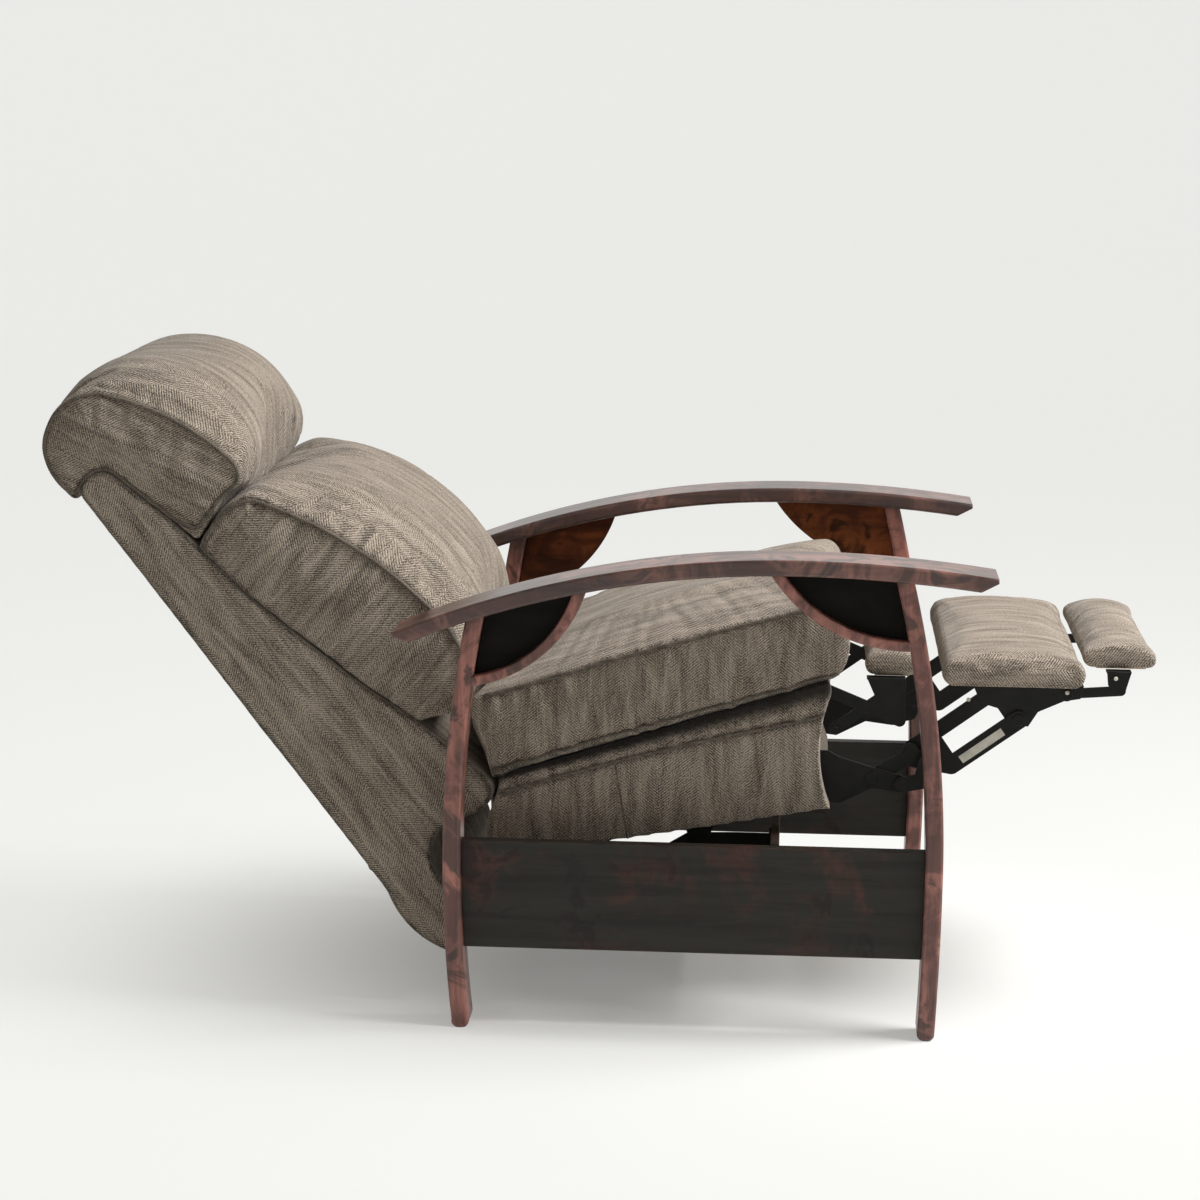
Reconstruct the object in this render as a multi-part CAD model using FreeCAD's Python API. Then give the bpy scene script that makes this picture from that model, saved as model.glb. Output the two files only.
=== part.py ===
import FreeCAD, Part
import math
import os

# Barrel recliner with bow arms, laid fully back with its footrest out.
# Side shapes are drawn as (s, z): s runs from the back of the chair to its toe end, z is the
# height above the floor, both in millimetres. The right side of the sitter is at negative X.
# In the frame of the part the chair faces -Y, so Y = MIDDLE_S - s.

V = FreeCAD.Vector

# Reach of the laid-back chair, from the head cushion to the toe pad.
HEAD_S = -920.0
TOE_S = 634.0
MIDDLE_S = (HEAD_S + TOE_S) / 2

# Wooden side frames.
LEG_OUTER = 380.0
LEG_WIDTH = 60.0
LEG_THICK = 24.0
LEG_EDGE = 3.0
FOOT_FLAT = 5.0
FRONT_FOOT_S = 319.0
FRONT_BELLY = (324.0, 230.0)
FRONT_TOP = (270.0, 650.0)
REAR_FOOT_S = -320.0
REAR_BELLY = (-334.0, 250.0)
REAR_TOP = (-302.0, 585.0)
ARM_OUTER = 396.0
ARM_WIDTH = 91.0
ARM_THICK = 22.0
ARM_CREST = (125.0, 664.0)
ARM_REAR = (-414.0, 553.0)
ARM_FRONT = (397.0, 645.0)
ARM_EDGE = 4.0
ARM_BEVEL = 24.0
ARM_TIP = 6.0
RAIL_OUTER = 360.0
RAIL_THICK = 20.0
RAIL_TOP = 260.0
RAIL_BOTTOM = 110.0
DOWEL_R = 5.0
DOWEL_LENGTH = 40.0
DOWEL_INSET = 40.0
DOWEL_COVER = 5.0
CORBEL_THICK = 20.0
MOULDING_WIDTH = 14.0
MOULDING_EDGE = 3.0
FRONT_CORBEL = ((91.0, 645.0), (173.0, 568.0), (284.0, 541.0))
REAR_CORBEL = ((-154.0, 612.0), (-205.0, 530.0), (-312.0, 478.0))
STRETCHER_THICK = 12.0
FRONT_STRETCHER_S = 101.0
FRONT_STRETCHER_Z = (196.0, 262.0)
REAR_STRETCHER_S = -182.0
REAR_STRETCHER_Z = (125.0, 205.0)

# Steel mechanism: plates stand side by side in layers, counted inward from the seat plates.
PLATE = 3.0
LAYER_PITCH = 4.0
SEAT_PLATE_OUTER = 228.0
FRONT_LINK_STANDOFF = 4.0
PIN_R = 5.0
RUNNING_FIT = 0.06
HEAD_R = 8.0
HEAD_THICK = 2.0
THIN_HEAD = 0.6
LINK_WIDTH = 22.0
TILT_PIVOT = (0.0, 235.0)
BACK_PIVOT = (-268.0, 300.0)
REAR_LINK_PIVOT = (240.0, 333.0)
FRONT_LINK_PIVOT = (281.0, 325.0)
BRIDGE_PIVOT = (165.0, 455.0)
LONG_LINK_PIVOT = (289.5, 361.9)
UPPER_LINK_EYE = (292.9, 371.8)
FRONT_LINK_EYE = (315.4, 357.9)
LONG_LINK_KNEE = (350.0, 352.0)
LONG_LINK_HORN = (322.0, 392.0)
FRONT_LINK_KNEE = (308.0, 331.0)
BRACKET_PIVOT = (441.0, 418.6)
UPPER_LINK_PIVOT = (397.4, 449.3)
FLIPPER_PIVOT = (507.0, 455.0)
BRIDGE_KNEE = (277.0, 410.0)
BASE_EAR = (30.0, 38.0)
BOLT_R = 4.0
BOLT_HEAD_R = 7.0

# Seat.
SEAT_HALF = 283.0
BOX_HALF = 285.0
BOX_WALL = 15.0
BOX_REAR_S = -276.0
BOX_FRONT = ((182.0, 300.0), (166.0, 392.0), (181.0, 462.0))
BOX_FLOOR_SLOPE = 0.1822
CUSHION_REAR = (-283.0, 331.0)
CUSHION_FRONT = (186.0, 481.0)
CUSHION_NOSE = (205.0, 524.0)
CUSHION_TOP_FRONT = (166.0, 584.0)
CUSHION_TOP_REAR = (-298.0, 446.0)
CUSHION_CORNER = (-304.0, 438.0)
SEAT_CROWN = 31.0
DECK_GAP = 0.4
DECK_THICK = 7.0
SEAT_BOARD_S = (-254.0, 148.0)
CROSS_BOARD_THICK = 18.0
FRONT_BOARD_S = 78.0
FRONT_BOARD_DEPTH = 100.0
REAR_BOARD_S = -252.0
REAR_BOARD_DEPTH = 60.0
WEBBING_THICK = 3.0
WEBBING_WIDTH = 58.0
WEBBING_COUNT = 5
WEBBING_PITCH = 78.0
LINK_SLOT = (195.0, 240.0)

# Back.
BACK_HALF = 285.0
BACK_WALL = 12.0
BACK_CROWN = 60.0
HEAD_CROWN = 62.0
STILE_DEPTH = 40.0
STILE_START = 52.0
STILE_TOP_GAP = 84.0
BACK_WEB_COUNT = 4
BACK_WEB_PITCH = 125.0
BACK_WEB_WIDTH = 60.0
BRACKET_KNEE = (-340.0, 307.0)
BRACKET_WIDTH = 24.0
SLOT_GAP = 1.0

# Footrest pads.
PAD_HALF = 250.0
PAD_BOTTOM = 468.0
PAD_SPAN = (330.0, 530.0)
PAD_THICK = 46.0
FLIPPER_HALF = 198.0
FLIPPER_BOTTOM = 488.0
FLIPPER_SPAN = (533.0, TOE_S)
FLIPPER_THICK = 36.0
BRIDGE_HALF = 198.0
BRIDGE_BOTTOM = 470.0
BRIDGE_SPAN = (225.0, 305.0)
BRIDGE_THICK = 40.0
PAD_CROWN = 6.0
PAD_EDGE = 12.0
PAD_BULGE = 10.0
PAD_SHOULDER = 7.0
PAD_STATIONS = ((-1.0, 1.0, 0.0), (-0.98, 0.3, 0.1), (-0.94, 0.0, 0.2), (-0.8, 0.0, 0.5),
                (-0.4, 0.0, 0.9), (0.0, 0.0, 1.0), (0.4, 0.0, 0.9), (0.8, 0.0, 0.5),
                (0.94, 0.0, 0.2), (0.98, 0.3, 0.1), (1.0, 1.0, 0.0))
BOARD_THICK = 10.0
BOARD_INSET = 16.0
FLANGE_WIDTH = 18.0

DRAW_IN = 6.0
PAD_DRAW_IN = 2.0
SOFT_GAP = 0.5
FAR = 400.0


def at(x, point):
    """Place a side-shape point (s, z) at a distance x across the chair."""
    return V(x, MIDDLE_S - point[0], point[1])


def outline(x, start, steps):
    """Closed wire at x. A step is (s, z) for a line or (middle, end) for an arc."""
    edges = []
    here = start
    for step in steps:
        if isinstance(step[0], tuple):
            middle, end = step
            edges.append(Part.Arc(at(x, here), at(x, middle), at(x, end)).toShape())
        else:
            end = step
            edges.append(Part.LineSegment(at(x, here), at(x, end)).toShape())
        here = end
    if here != start:
        edges.append(Part.LineSegment(at(x, here), at(x, start)).toShape())
    return Part.Wire(edges)


def slab(x_outer, x_inner, start, steps):
    """Flat piece on the right side, between two distances from the centre plane."""
    wire = outline(-x_outer, start, steps)
    return Part.Face(wire).extrude(V(x_outer - x_inner, 0, 0))


def block(x0, x1, s0, s1, z0, z1):
    return Part.makeBox(x1 - x0, s1 - s0, z1 - z0, V(x0, MIDDLE_S - s1, z0))


def rod(x_outer, x_inner, centre, radius):
    """Cylinder along X on the right side."""
    return Part.makeCylinder(radius, x_outer - x_inner, at(-x_outer, centre), V(1, 0, 0))


def strap(x_outer, x_inner, points, width):
    """Steel bar with round ends along a run of points."""
    half = width / 2
    piece = rod(x_outer, x_inner, points[0], half)
    for a, b in zip(points, points[1:]):
        length = math.dist(a, b)
        ns = -(b[1] - a[1]) / length * half
        nz = (b[0] - a[0]) / length * half
        corners = [(b[0] + ns, b[1] + nz), (b[0] - ns, b[1] - nz), (a[0] - ns, a[1] - nz)]
        piece = piece.fuse(slab(x_outer, x_inner, (a[0] + ns, a[1] + nz), corners))
        piece = piece.fuse(rod(x_outer, x_inner, b, half))
    return piece.removeSplitter()


def mirrored(shape):
    return shape.mirror(V(0, 0, 0), V(1, 0, 0))


def layer(number):
    """Outer and inner distance of a steel plate from the centre plane."""
    outer = SEAT_PLATE_OUTER - LAYER_PITCH * number
    return outer, outer - PLATE


def bow(start, end, upright):
    """Middle point of an arc that leaves start upright (or level) and arrives at end."""
    ds = end[0] - start[0]
    dz = end[1] - start[1]
    across, along = (ds, dz) if upright else (dz, ds)
    radius = (across ** 2 + along ** 2) / (2 * across)
    half_turn = math.asin(along / radius) / 2
    out = radius * (1 - math.cos(half_turn))
    forward = radius * math.sin(half_turn)
    if upright:
        return start[0] + out, start[1] + forward
    return start[0] + forward, start[1] + out


def shifted(point, ds, dz):
    return point[0] + ds, point[1] + dz


def pierced(shape, x_outer, x_inner, centre, radius):
    return shape.cut(rod(x_outer + 1, x_inner - 1, centre, radius))


def eased(shape, radius, shortest):
    """Round the long edges of a piece that was cut from the side shape."""
    rims = [edge for edge in shape.Edges if edge.Length > shortest]
    return shape.makeFillet(radius, rims)


def solids_only(shape):
    parts = shape.Solids
    return parts[0] if len(parts) == 1 else Part.Compound(parts)


def largest(shape):
    return max(shape.Solids, key=lambda solid: solid.Volume)


# Wooden frame

def arm_curve(s, drop):
    """Point of the arm's top curve at s, lowered by drop. The curve is level at its crest."""
    end = ARM_REAR if s < ARM_CREST[0] else ARM_FRONT
    fall = ARM_CREST[1] - end[1]
    radius = ((end[0] - ARM_CREST[0]) ** 2 + fall ** 2) / (2 * fall)
    sag = radius - math.sqrt(radius ** 2 - (s - ARM_CREST[0]) ** 2)
    return s, ARM_CREST[1] - sag - drop


def arm_arc(s0, s1, drop):
    """Step along the arm's curve from s0 to s1."""
    return arm_curve((s0 + s1) / 2, drop), arm_curve(s1, drop)


def right_arm():
    rear_s, crest_s, front_s = ARM_REAR[0], ARM_CREST[0], ARM_FRONT[0]
    bevel_front = front_s - ARM_BEVEL
    bevel_rear = rear_s + ARM_BEVEL
    steps = [arm_arc(rear_s, crest_s, 0), arm_arc(crest_s, front_s, 0),
             shifted(ARM_FRONT, 0, -ARM_TIP), arm_curve(bevel_front, ARM_THICK),
             arm_arc(bevel_front, crest_s, ARM_THICK), arm_arc(crest_s, bevel_rear, ARM_THICK),
             shifted(ARM_REAR, 0, -ARM_TIP)]
    plank = slab(ARM_OUTER, ARM_OUTER - ARM_WIDTH, ARM_REAR, steps)
    return largest(eased(plank, ARM_EDGE, ARM_WIDTH * 2))


def under_arm():
    """Everything above the arm's underside, used to trim what meets it."""
    rear_s, crest_s, front_s = ARM_REAR[0], ARM_CREST[0], ARM_FRONT[0]
    rear = arm_curve(rear_s, ARM_THICK)
    steps = [arm_arc(rear_s, crest_s, ARM_THICK), arm_arc(crest_s, front_s, ARM_THICK),
             shifted(ARM_FRONT, 0, FAR), shifted(ARM_REAR, 0, FAR)]
    return slab(ARM_OUTER + 1, ARM_OUTER - ARM_WIDTH - 1, rear, steps)


def right_leg(foot_s, belly, top):
    half = LEG_THICK / 2
    nose = half - FOOT_FLAT / 2
    front_foot = (foot_s + half, nose)
    rear_foot = (foot_s - half, nose)
    front_belly = shifted(belly, half, 0)
    rear_belly = shifted(belly, -half, 0)
    front_top = shifted(top, half, 0)
    rear_top = shifted(top, -half, 0)
    round_part = nose * math.sin(math.radians(45))
    front_round = (foot_s + half - nose + round_part, nose - round_part)
    rear_round = (foot_s - half + nose - round_part, nose - round_part)
    steps = [(bow(front_belly, front_foot, True), front_belly),
             (bow(front_belly, front_top, True), front_top),
             rear_top,
             (bow(rear_belly, rear_top, True), rear_belly),
             (bow(rear_belly, rear_foot, True), rear_foot),
             (rear_round, (foot_s - FOOT_FLAT / 2, 0.0)),
             (foot_s + FOOT_FLAT / 2, 0.0),
             (front_round, front_foot)]
    leg = slab(LEG_OUTER, LEG_OUTER - LEG_WIDTH, front_foot, steps)
    rims = [edge for edge in leg.Edges if edge.Length > LEG_WIDTH * 2]
    return leg.makeChamfer(LEG_EDGE, rims)


def right_rail():
    return slab(RAIL_OUTER, RAIL_OUTER - RAIL_THICK, (REAR_BELLY[0], RAIL_BOTTOM),
                [(REAR_BELLY[0], RAIL_TOP), (FRONT_BELLY[0], RAIL_TOP),
                 (FRONT_BELLY[0], RAIL_BOTTOM)])


def right_corbel(points):
    tip, middle, heel = points
    top = ARM_CREST[1]
    return slab(RAIL_OUTER, RAIL_OUTER - CORBEL_THICK, tip,
                [(middle, heel), (heel[0], top), (tip[0], top)])


def right_moulding(points):
    """Curved strip along the corbel's edge, proud of its panel."""
    tip, middle, heel = points
    lift = MOULDING_WIDTH
    side = math.copysign(lift, heel[0] - tip[0])
    inner_middle = shifted(middle, side * 0.5, lift * 0.87)
    inner_heel = shifted(heel, 0, lift)
    inner_tip = shifted(tip, side * 1.3, 0)
    strip = slab(LEG_OUTER, RAIL_OUTER, tip,
                 [(middle, heel), inner_heel, (inner_middle, inner_tip)])
    return eased(strip, MOULDING_EDGE, LEG_WIDTH * 2)


def rail_dowels(leg_s, inward):
    """Two dowels of one rail joint, along the rail. They end inside the leg."""
    x = -(RAIL_OUTER - RAIL_THICK / 2)
    start = leg_s - inward * (LEG_THICK / 2 - DOWEL_COVER)
    pegs = []
    for z in (RAIL_BOTTOM + DOWEL_INSET, RAIL_TOP - DOWEL_INSET):
        low = min(start, start + inward * DOWEL_LENGTH)
        base = V(x, MIDDLE_S - low, z)
        pegs.append(Part.makeCylinder(DOWEL_R, DOWEL_LENGTH, base, V(0, -1, 0)))
    return pegs


def stretcher(front_s, z_range):
    half = RAIL_OUTER - RAIL_THICK
    return block(-half, half, front_s, front_s + STRETCHER_THICK, z_range[0], z_range[1])


def base_ear_bolts(face_s, outward, z):
    """Bolts of one base plate ear, through the stretcher. outward points out of the ear's face."""
    outer, inner = layer(1)
    x = -(inner - BASE_EAR[0] / 2)
    head_s = face_s + outward * PLATE
    length = PLATE + STRETCHER_THICK
    start = V(x, MIDDLE_S - head_s, z)
    along = V(0, outward, 0)
    shank = Part.makeCylinder(BOLT_R, length, start, along)
    head = Part.makeCylinder(BOLT_HEAD_R, BOLT_R, start, V(0, -outward, 0))
    return shank.fuse(head)


def right_base_plate():
    outer, inner = layer(1)
    rear_s = REAR_STRETCHER_S
    front_s = FRONT_STRETCHER_S
    rear_z = REAR_STRETCHER_Z[1] - 5
    front_z = FRONT_STRETCHER_Z[1] - 14
    pivot = TILT_PIVOT
    web = slab(outer, inner, (rear_s, rear_z - BASE_EAR[1]),
               [(rear_s, rear_z), (pivot[0] - 60, pivot[1] - 16), (pivot[0] - 14, pivot[1] + 12),
                (pivot[0] + 14, pivot[1] + 12), (front_s - 50, front_z), (front_s, front_z),
                (front_s, front_z - BASE_EAR[1]), (pivot[0], pivot[1] - 40)])
    rear_ear = block(-inner, -inner + BASE_EAR[0], rear_s, rear_s + PLATE,
                     rear_z - BASE_EAR[1], rear_z)
    front_ear = block(-inner, -inner + BASE_EAR[0], front_s - PLATE, front_s,
                      front_z - BASE_EAR[1], front_z)
    plate = web.fuse(rear_ear).fuse(front_ear).removeSplitter()
    return pierced(plate, outer, inner, pivot, PIN_R + RUNNING_FIT)


def wooden_frame():
    trim = under_arm()
    front_leg = largest(right_leg(FRONT_FOOT_S, FRONT_BELLY, FRONT_TOP).cut(trim))
    rear_leg = largest(right_leg(REAR_FOOT_S, REAR_BELLY, REAR_TOP).cut(trim))
    rail = largest(right_rail().cut(front_leg).cut(rear_leg))
    dowels = rail_dowels(FRONT_BELLY[0], -1) + rail_dowels(REAR_BELLY[0], 1)
    for dowel in dowels:
        front_leg = front_leg.cut(dowel)
        rear_leg = rear_leg.cut(dowel)
        rail = rail.cut(dowel)
    nodes = {"arm": right_arm(), "front_leg": front_leg, "rear_leg": rear_leg, "side_rail": rail}
    for name, points, leg in (("front", FRONT_CORBEL, front_leg), ("rear", REAR_CORBEL, rear_leg)):
        panel = right_corbel(points).cut(trim).cut(leg)
        strip = right_moulding(points).cut(trim).cut(leg)
        nodes[name + "_corbel"] = largest(panel)
        nodes[name + "_moulding"] = largest(strip)
    nodes["base_plate"] = right_base_plate()
    front = stretcher(FRONT_STRETCHER_S, FRONT_STRETCHER_Z)
    rear = stretcher(REAR_STRETCHER_S - STRETCHER_THICK, REAR_STRETCHER_Z)
    rear_z = REAR_STRETCHER_Z[1] - 5 - BASE_EAR[1] / 2
    front_z = FRONT_STRETCHER_Z[1] - 14 - BASE_EAR[1] / 2
    bolts = [base_ear_bolts(REAR_STRETCHER_S, 1, rear_z),
             base_ear_bolts(FRONT_STRETCHER_S, -1, front_z)]
    bolts += [mirrored(bolt) for bolt in bolts]
    for bolt in bolts:
        front = front.cut(bolt)
        rear = rear.cut(bolt)
        nodes["base_plate"] = nodes["base_plate"].cut(bolt)
    both = {}
    for name, shape in nodes.items():
        both["right_" + name] = shape
        both["left_" + name] = mirrored(shape)
    both["front_stretcher"] = front
    both["rear_stretcher"] = rear
    both["rail_dowels"] = Part.Compound(dowels + [mirrored(dowel) for dowel in dowels])
    both["base_bolts"] = Part.Compound(bolts)
    return both


# Seat

def cushion_line(s):
    """Height of the seat cushion's underside at s."""
    run = CUSHION_FRONT[0] - CUSHION_REAR[0]
    rise = CUSHION_FRONT[1] - CUSHION_REAR[1]
    return CUSHION_REAR[1] + (s - CUSHION_REAR[0]) * rise / run


def deck_line(s):
    return cushion_line(s) - DECK_GAP


def floor_line(s):
    return BOX_FRONT[0][1] - (BOX_FRONT[0][0] - s) * BOX_FLOOR_SLOPE


def bowed_plan(half, s0, s1, draw_in):
    """Upright prism whose two sides draw in between the corners."""
    y0 = MIDDLE_S - s1
    y1 = MIDDLE_S - s0
    middle = (y0 + y1) / 2
    waist = half - draw_in
    edges = [Part.LineSegment(V(-half, y0, 0), V(half, y0, 0)).toShape(),
             Part.Arc(V(half, y0, 0), V(waist, middle, 0), V(half, y1, 0)).toShape(),
             Part.LineSegment(V(half, y1, 0), V(-half, y1, 0)).toShape(),
             Part.Arc(V(-half, y1, 0), V(-waist, middle, 0), V(-half, y0, 0)).toShape()]
    return Part.Face(Part.Wire(edges)).extrude(V(0, 0, 1200))


def crowned(half, shape_at, reach):
    """Soft block: loft across the chair, flatter at its sides, then drawn in between corners."""
    stations = ((-1.0, 0.0), (-0.78, 0.88), (0.0, 1.0), (0.78, 0.88), (1.0, 0.0))
    wires = []
    for place, crown in stations:
        start, steps = shape_at(crown)
        wires.append(outline(half * place, start, steps))
    loft = Part.makeLoft(wires, True, False)
    return largest(loft.common(bowed_plan(half, reach[0], reach[1], DRAW_IN)))


def seat_profile(crown):
    lift = SEAT_CROWN * crown
    middle_s = (CUSHION_TOP_FRONT[0] + CUSHION_TOP_REAR[0]) / 2
    middle_z = (CUSHION_TOP_FRONT[1] + CUSHION_TOP_REAR[1]) / 2 + 3
    top_front = shifted(CUSHION_TOP_FRONT, 0, lift * 0.4)
    return CUSHION_REAR, [CUSHION_FRONT, (CUSHION_NOSE, top_front),
                          ((middle_s, middle_z + lift), CUSHION_TOP_REAR), CUSHION_CORNER]


def seat_box_cover():
    bottom, middle, top = BOX_FRONT
    rear_bottom = (BOX_REAR_S, floor_line(BOX_REAR_S))
    rear_top = (BOX_REAR_S, deck_line(BOX_REAR_S))
    front_top = (top[0] - 6, deck_line(top[0] - 6))
    outer = slab(BOX_HALF, -BOX_HALF, rear_bottom, [bottom, (middle, top), front_top, rear_top])
    wall = BOX_WALL
    inner_top = deck_line(top[0] - wall) - DECK_THICK
    inside = slab(BOX_HALF - wall, wall - BOX_HALF, (bottom[0] - wall, RAIL_BOTTOM),
                  [shifted(bottom, -wall, 0),
                   (shifted(middle, -wall, 0), (top[0] - wall, inner_top)),
                   (BOX_REAR_S - wall, deck_line(BOX_REAR_S - wall) - DECK_THICK),
                   (BOX_REAR_S - wall, RAIL_BOTTOM)])
    cover = outer.cut(inside)
    slot_rear = top[0] - 3 * wall
    slot_front = top[0] + wall
    slot = slab(LINK_SLOT[1], LINK_SLOT[0], (slot_rear, RAIL_BOTTOM),
                [(slot_rear, deck_line(slot_rear) - DECK_THICK),
                 (slot_front, deck_line(slot_front) - DECK_THICK), (slot_front, RAIL_BOTTOM)])
    return solids_only(cover.cut(slot).cut(mirrored(slot)))


def board_line(s):
    """Height of the webbing's seat on the boards."""
    return deck_line(s) - DECK_THICK - WEBBING_THICK


def right_seat_board():
    low, high = SEAT_BOARD_S
    return slab(BOX_HALF - BOX_WALL, SEAT_PLATE_OUTER,
                (low, floor_line(low) + 8),
                [(low, board_line(low) + WEBBING_THICK), (high, board_line(high) + WEBBING_THICK),
                 (high, floor_line(high) + 8)])


def cross_board(s, depth):
    half = SEAT_PLATE_OUTER - PLATE
    far = s + CROSS_BOARD_THICK
    return slab(half, -half, (s, board_line(s) - depth),
                [(s, board_line(s)), (far, board_line(far)), (far, board_line(s) - depth)])


def seat_webbing():
    front = FRONT_BOARD_S + CROSS_BOARD_THICK
    rear = REAR_BOARD_S
    straps = []
    for number in range(WEBBING_COUNT):
        x = (number - (WEBBING_COUNT - 1) / 2) * WEBBING_PITCH
        wire = outline(x - WEBBING_WIDTH / 2, (rear, board_line(rear)),
                       [(rear, board_line(rear) + WEBBING_THICK),
                        (front, board_line(front) + WEBBING_THICK), (front, board_line(front))])
        straps.append(Part.Face(wire).extrude(V(WEBBING_WIDTH, 0, 0)))
    return Part.Compound(straps)


def seat_pin_list():
    """Pins that the seat plates carry: (pivot, outermost distance, innermost distance, heads)."""
    plate_outer, plate_inner = layer(0)
    front_outer = plate_outer + FRONT_LINK_STANDOFF + PLATE
    return ((TILT_PIVOT, plate_outer, layer(1)[1], HEAD_THICK, HEAD_THICK),
            (BACK_PIVOT, plate_outer, layer(1)[1], HEAD_THICK, HEAD_THICK),
            (REAR_LINK_PIVOT, plate_outer, layer(1)[1], HEAD_THICK, THIN_HEAD),
            (FRONT_LINK_PIVOT, front_outer, plate_inner, HEAD_THICK, THIN_HEAD),
            (BRIDGE_PIVOT, plate_outer, layer(6)[1], HEAD_THICK, HEAD_THICK))


def pin(pivot, outer, inner, outer_head, inner_head):
    shank = rod(outer, inner, pivot, PIN_R)
    outer_cap = rod(outer + outer_head, outer, pivot, HEAD_R)
    inner_cap = rod(inner, inner - inner_head, pivot, HEAD_R)
    return shank.fuse(outer_cap).fuse(inner_cap).removeSplitter()


def right_seat_plate():
    outer, inner = layer(0)
    back = BACK_PIVOT
    nose = FRONT_LINK_PIVOT
    web = slab(outer, inner, shifted(back, 0, -12),
               [shifted(back, 0, 12), (100.0, 372.0), (178.0, 370.0), (195.0, 361.0),
                (233.0, 350.0), shifted(nose, 3, 11.6), shifted(nose, -2, -11.8),
                (240.0, 318.0), (196.0, 295.0), (150.0, 300.0), (30.0, 282.0),
                shifted(TILT_PIVOT, 12, 0), shifted(TILT_PIVOT, -12, 0), (-30.0, 282.0)])
    for pivot in (back, nose, TILT_PIVOT):
        web = web.fuse(rod(outer, inner, pivot, 12.0))
    horn = strap(outer, inner, [(140.0, 355.0), BRIDGE_PIVOT], 18.0)
    plate = web.fuse(horn).removeSplitter()
    for pivot, pin_outer, pin_inner, outer_head, inner_head in seat_pin_list():
        plate = pierced(plate, outer, inner, pivot, PIN_R)
    return plate


def seat():
    pins = [pin(*entry) for entry in seat_pin_list()]
    pins += [mirrored(one) for one in pins]
    plate = right_seat_plate()
    board = right_seat_board()
    return {"right_seat_plate": plate,
            "left_seat_plate": mirrored(plate),
            "right_seat_board": board,
            "left_seat_board": mirrored(board),
            "front_seat_board": cross_board(FRONT_BOARD_S, FRONT_BOARD_DEPTH),
            "rear_seat_board": cross_board(REAR_BOARD_S, REAR_BOARD_DEPTH),
            "seat_webbing": seat_webbing(),
            "seat_box_cover": seat_box_cover(),
            "seat_cushion": crowned(SEAT_HALF, seat_profile, (CUSHION_TOP_REAR[0] - 6, TOE_S)),
            "seat_pins": Part.Compound(pins)}


# Back

BACK_LOW = (-434.0, 164.0)
BACK_HIGH = (-861.0, 713.5)
BACK_RISE = math.dist(BACK_LOW, BACK_HIGH)
ALONG = ((BACK_HIGH[0] - BACK_LOW[0]) / BACK_RISE, (BACK_HIGH[1] - BACK_LOW[1]) / BACK_RISE)
INTO = (ALONG[1], -ALONG[0])
STILE_END = BACK_RISE - STILE_TOP_GAP


def in_back(up, deep):
    """Point inside the back: up along its outer face from the low corner, deep into it."""
    return (BACK_LOW[0] + ALONG[0] * up + INTO[0] * deep,
            BACK_LOW[1] + ALONG[1] * up + INTO[1] * deep)


def back_outline(wall):
    """Side shape of the back's shell, or of its inside when wall is above zero."""
    inset = wall * 1.4
    start = (-336.0 - inset, 75.0 + inset * 1.6)
    low_turn = shifted(BACK_LOW, INTO[0] * wall, INTO[1] * wall)
    high_turn = in_back(BACK_RISE - inset * 0.6, wall)
    return start, [((-392.0 + inset * 0.5, 104.0 + inset), low_turn),
                   high_turn,
                   ((-852.0 + inset * 0.8, 738.0 - inset), (-822.0 + inset * 0.2, 748.0 - inset)),
                   (-792.0, 725.0 - inset), (-738.0 - wall * 0.2, 685.0 - inset),
                   (-636.0 - wall * 0.6, 587.0 - inset), (-562.0 - wall * 0.4, 527.0 - inset),
                   (-466.0, 456.0 - inset), (-392.0, 408.0 - inset), (-330.0 - inset, 360.0 - inset),
                   ((-304.0 - wall, 336.0 - wall * 0.5), (-289.0 - wall, 314.0)),
                   ((-293.0 - wall, 294.0 + wall * 0.4), (-306.0 - wall, 280.0 + wall)),
                   (-350.0 - wall, 262.0 + wall),
                   ((-373.0 - wall, 222.0), (-352.0 - wall, 178.0 - wall * 0.3)),
                   (-340.0 - wall, 150.0 - wall * 0.3)]


def back_cover():
    start, steps = back_outline(0)
    shell = slab(BACK_HALF, -BACK_HALF, start, steps)
    start, steps = back_outline(BACK_WALL)
    half = BACK_HALF - BACK_WALL
    shell = shell.cut(slab(half, -half, start, steps))
    outer, inner = layer(1)
    slot = block(-outer - SLOT_GAP, -inner + SLOT_GAP, BRACKET_KNEE[0], BACK_PIVOT[0],
                 BACK_PIVOT[1] - BRACKET_WIDTH, BACK_PIVOT[1] + BRACKET_WIDTH)
    return solids_only(shell.cut(slot).cut(mirrored(slot)))


def back_profile(crown):
    lift = BACK_CROWN * crown
    gap = SOFT_GAP
    out = (0.64 * lift, 0.77 * lift)
    return (-392.0, 410.0 + gap), [
        (-466.0, 456.0 + gap), (-562.0, 527.0 + gap), (-636.0, 587.0 + gap),
        (-690.0, 640.0 + gap),
        ((-668.0, 688.0), (-625.0 + out[0] * 0.5, 714.0 + out[1] * 0.6)),
        ((-497.0 + out[0] * 0.8, 660.0 + out[1] * 0.85), (-375.0 + out[0] * 0.7, 567.0 + out[1] * 0.7)),
        ((-332.0 + out[0] * 0.6, 512.0 + out[1] * 0.25), (-318.0, 464.0)),
        (-342.0, 443.0)]


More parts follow.
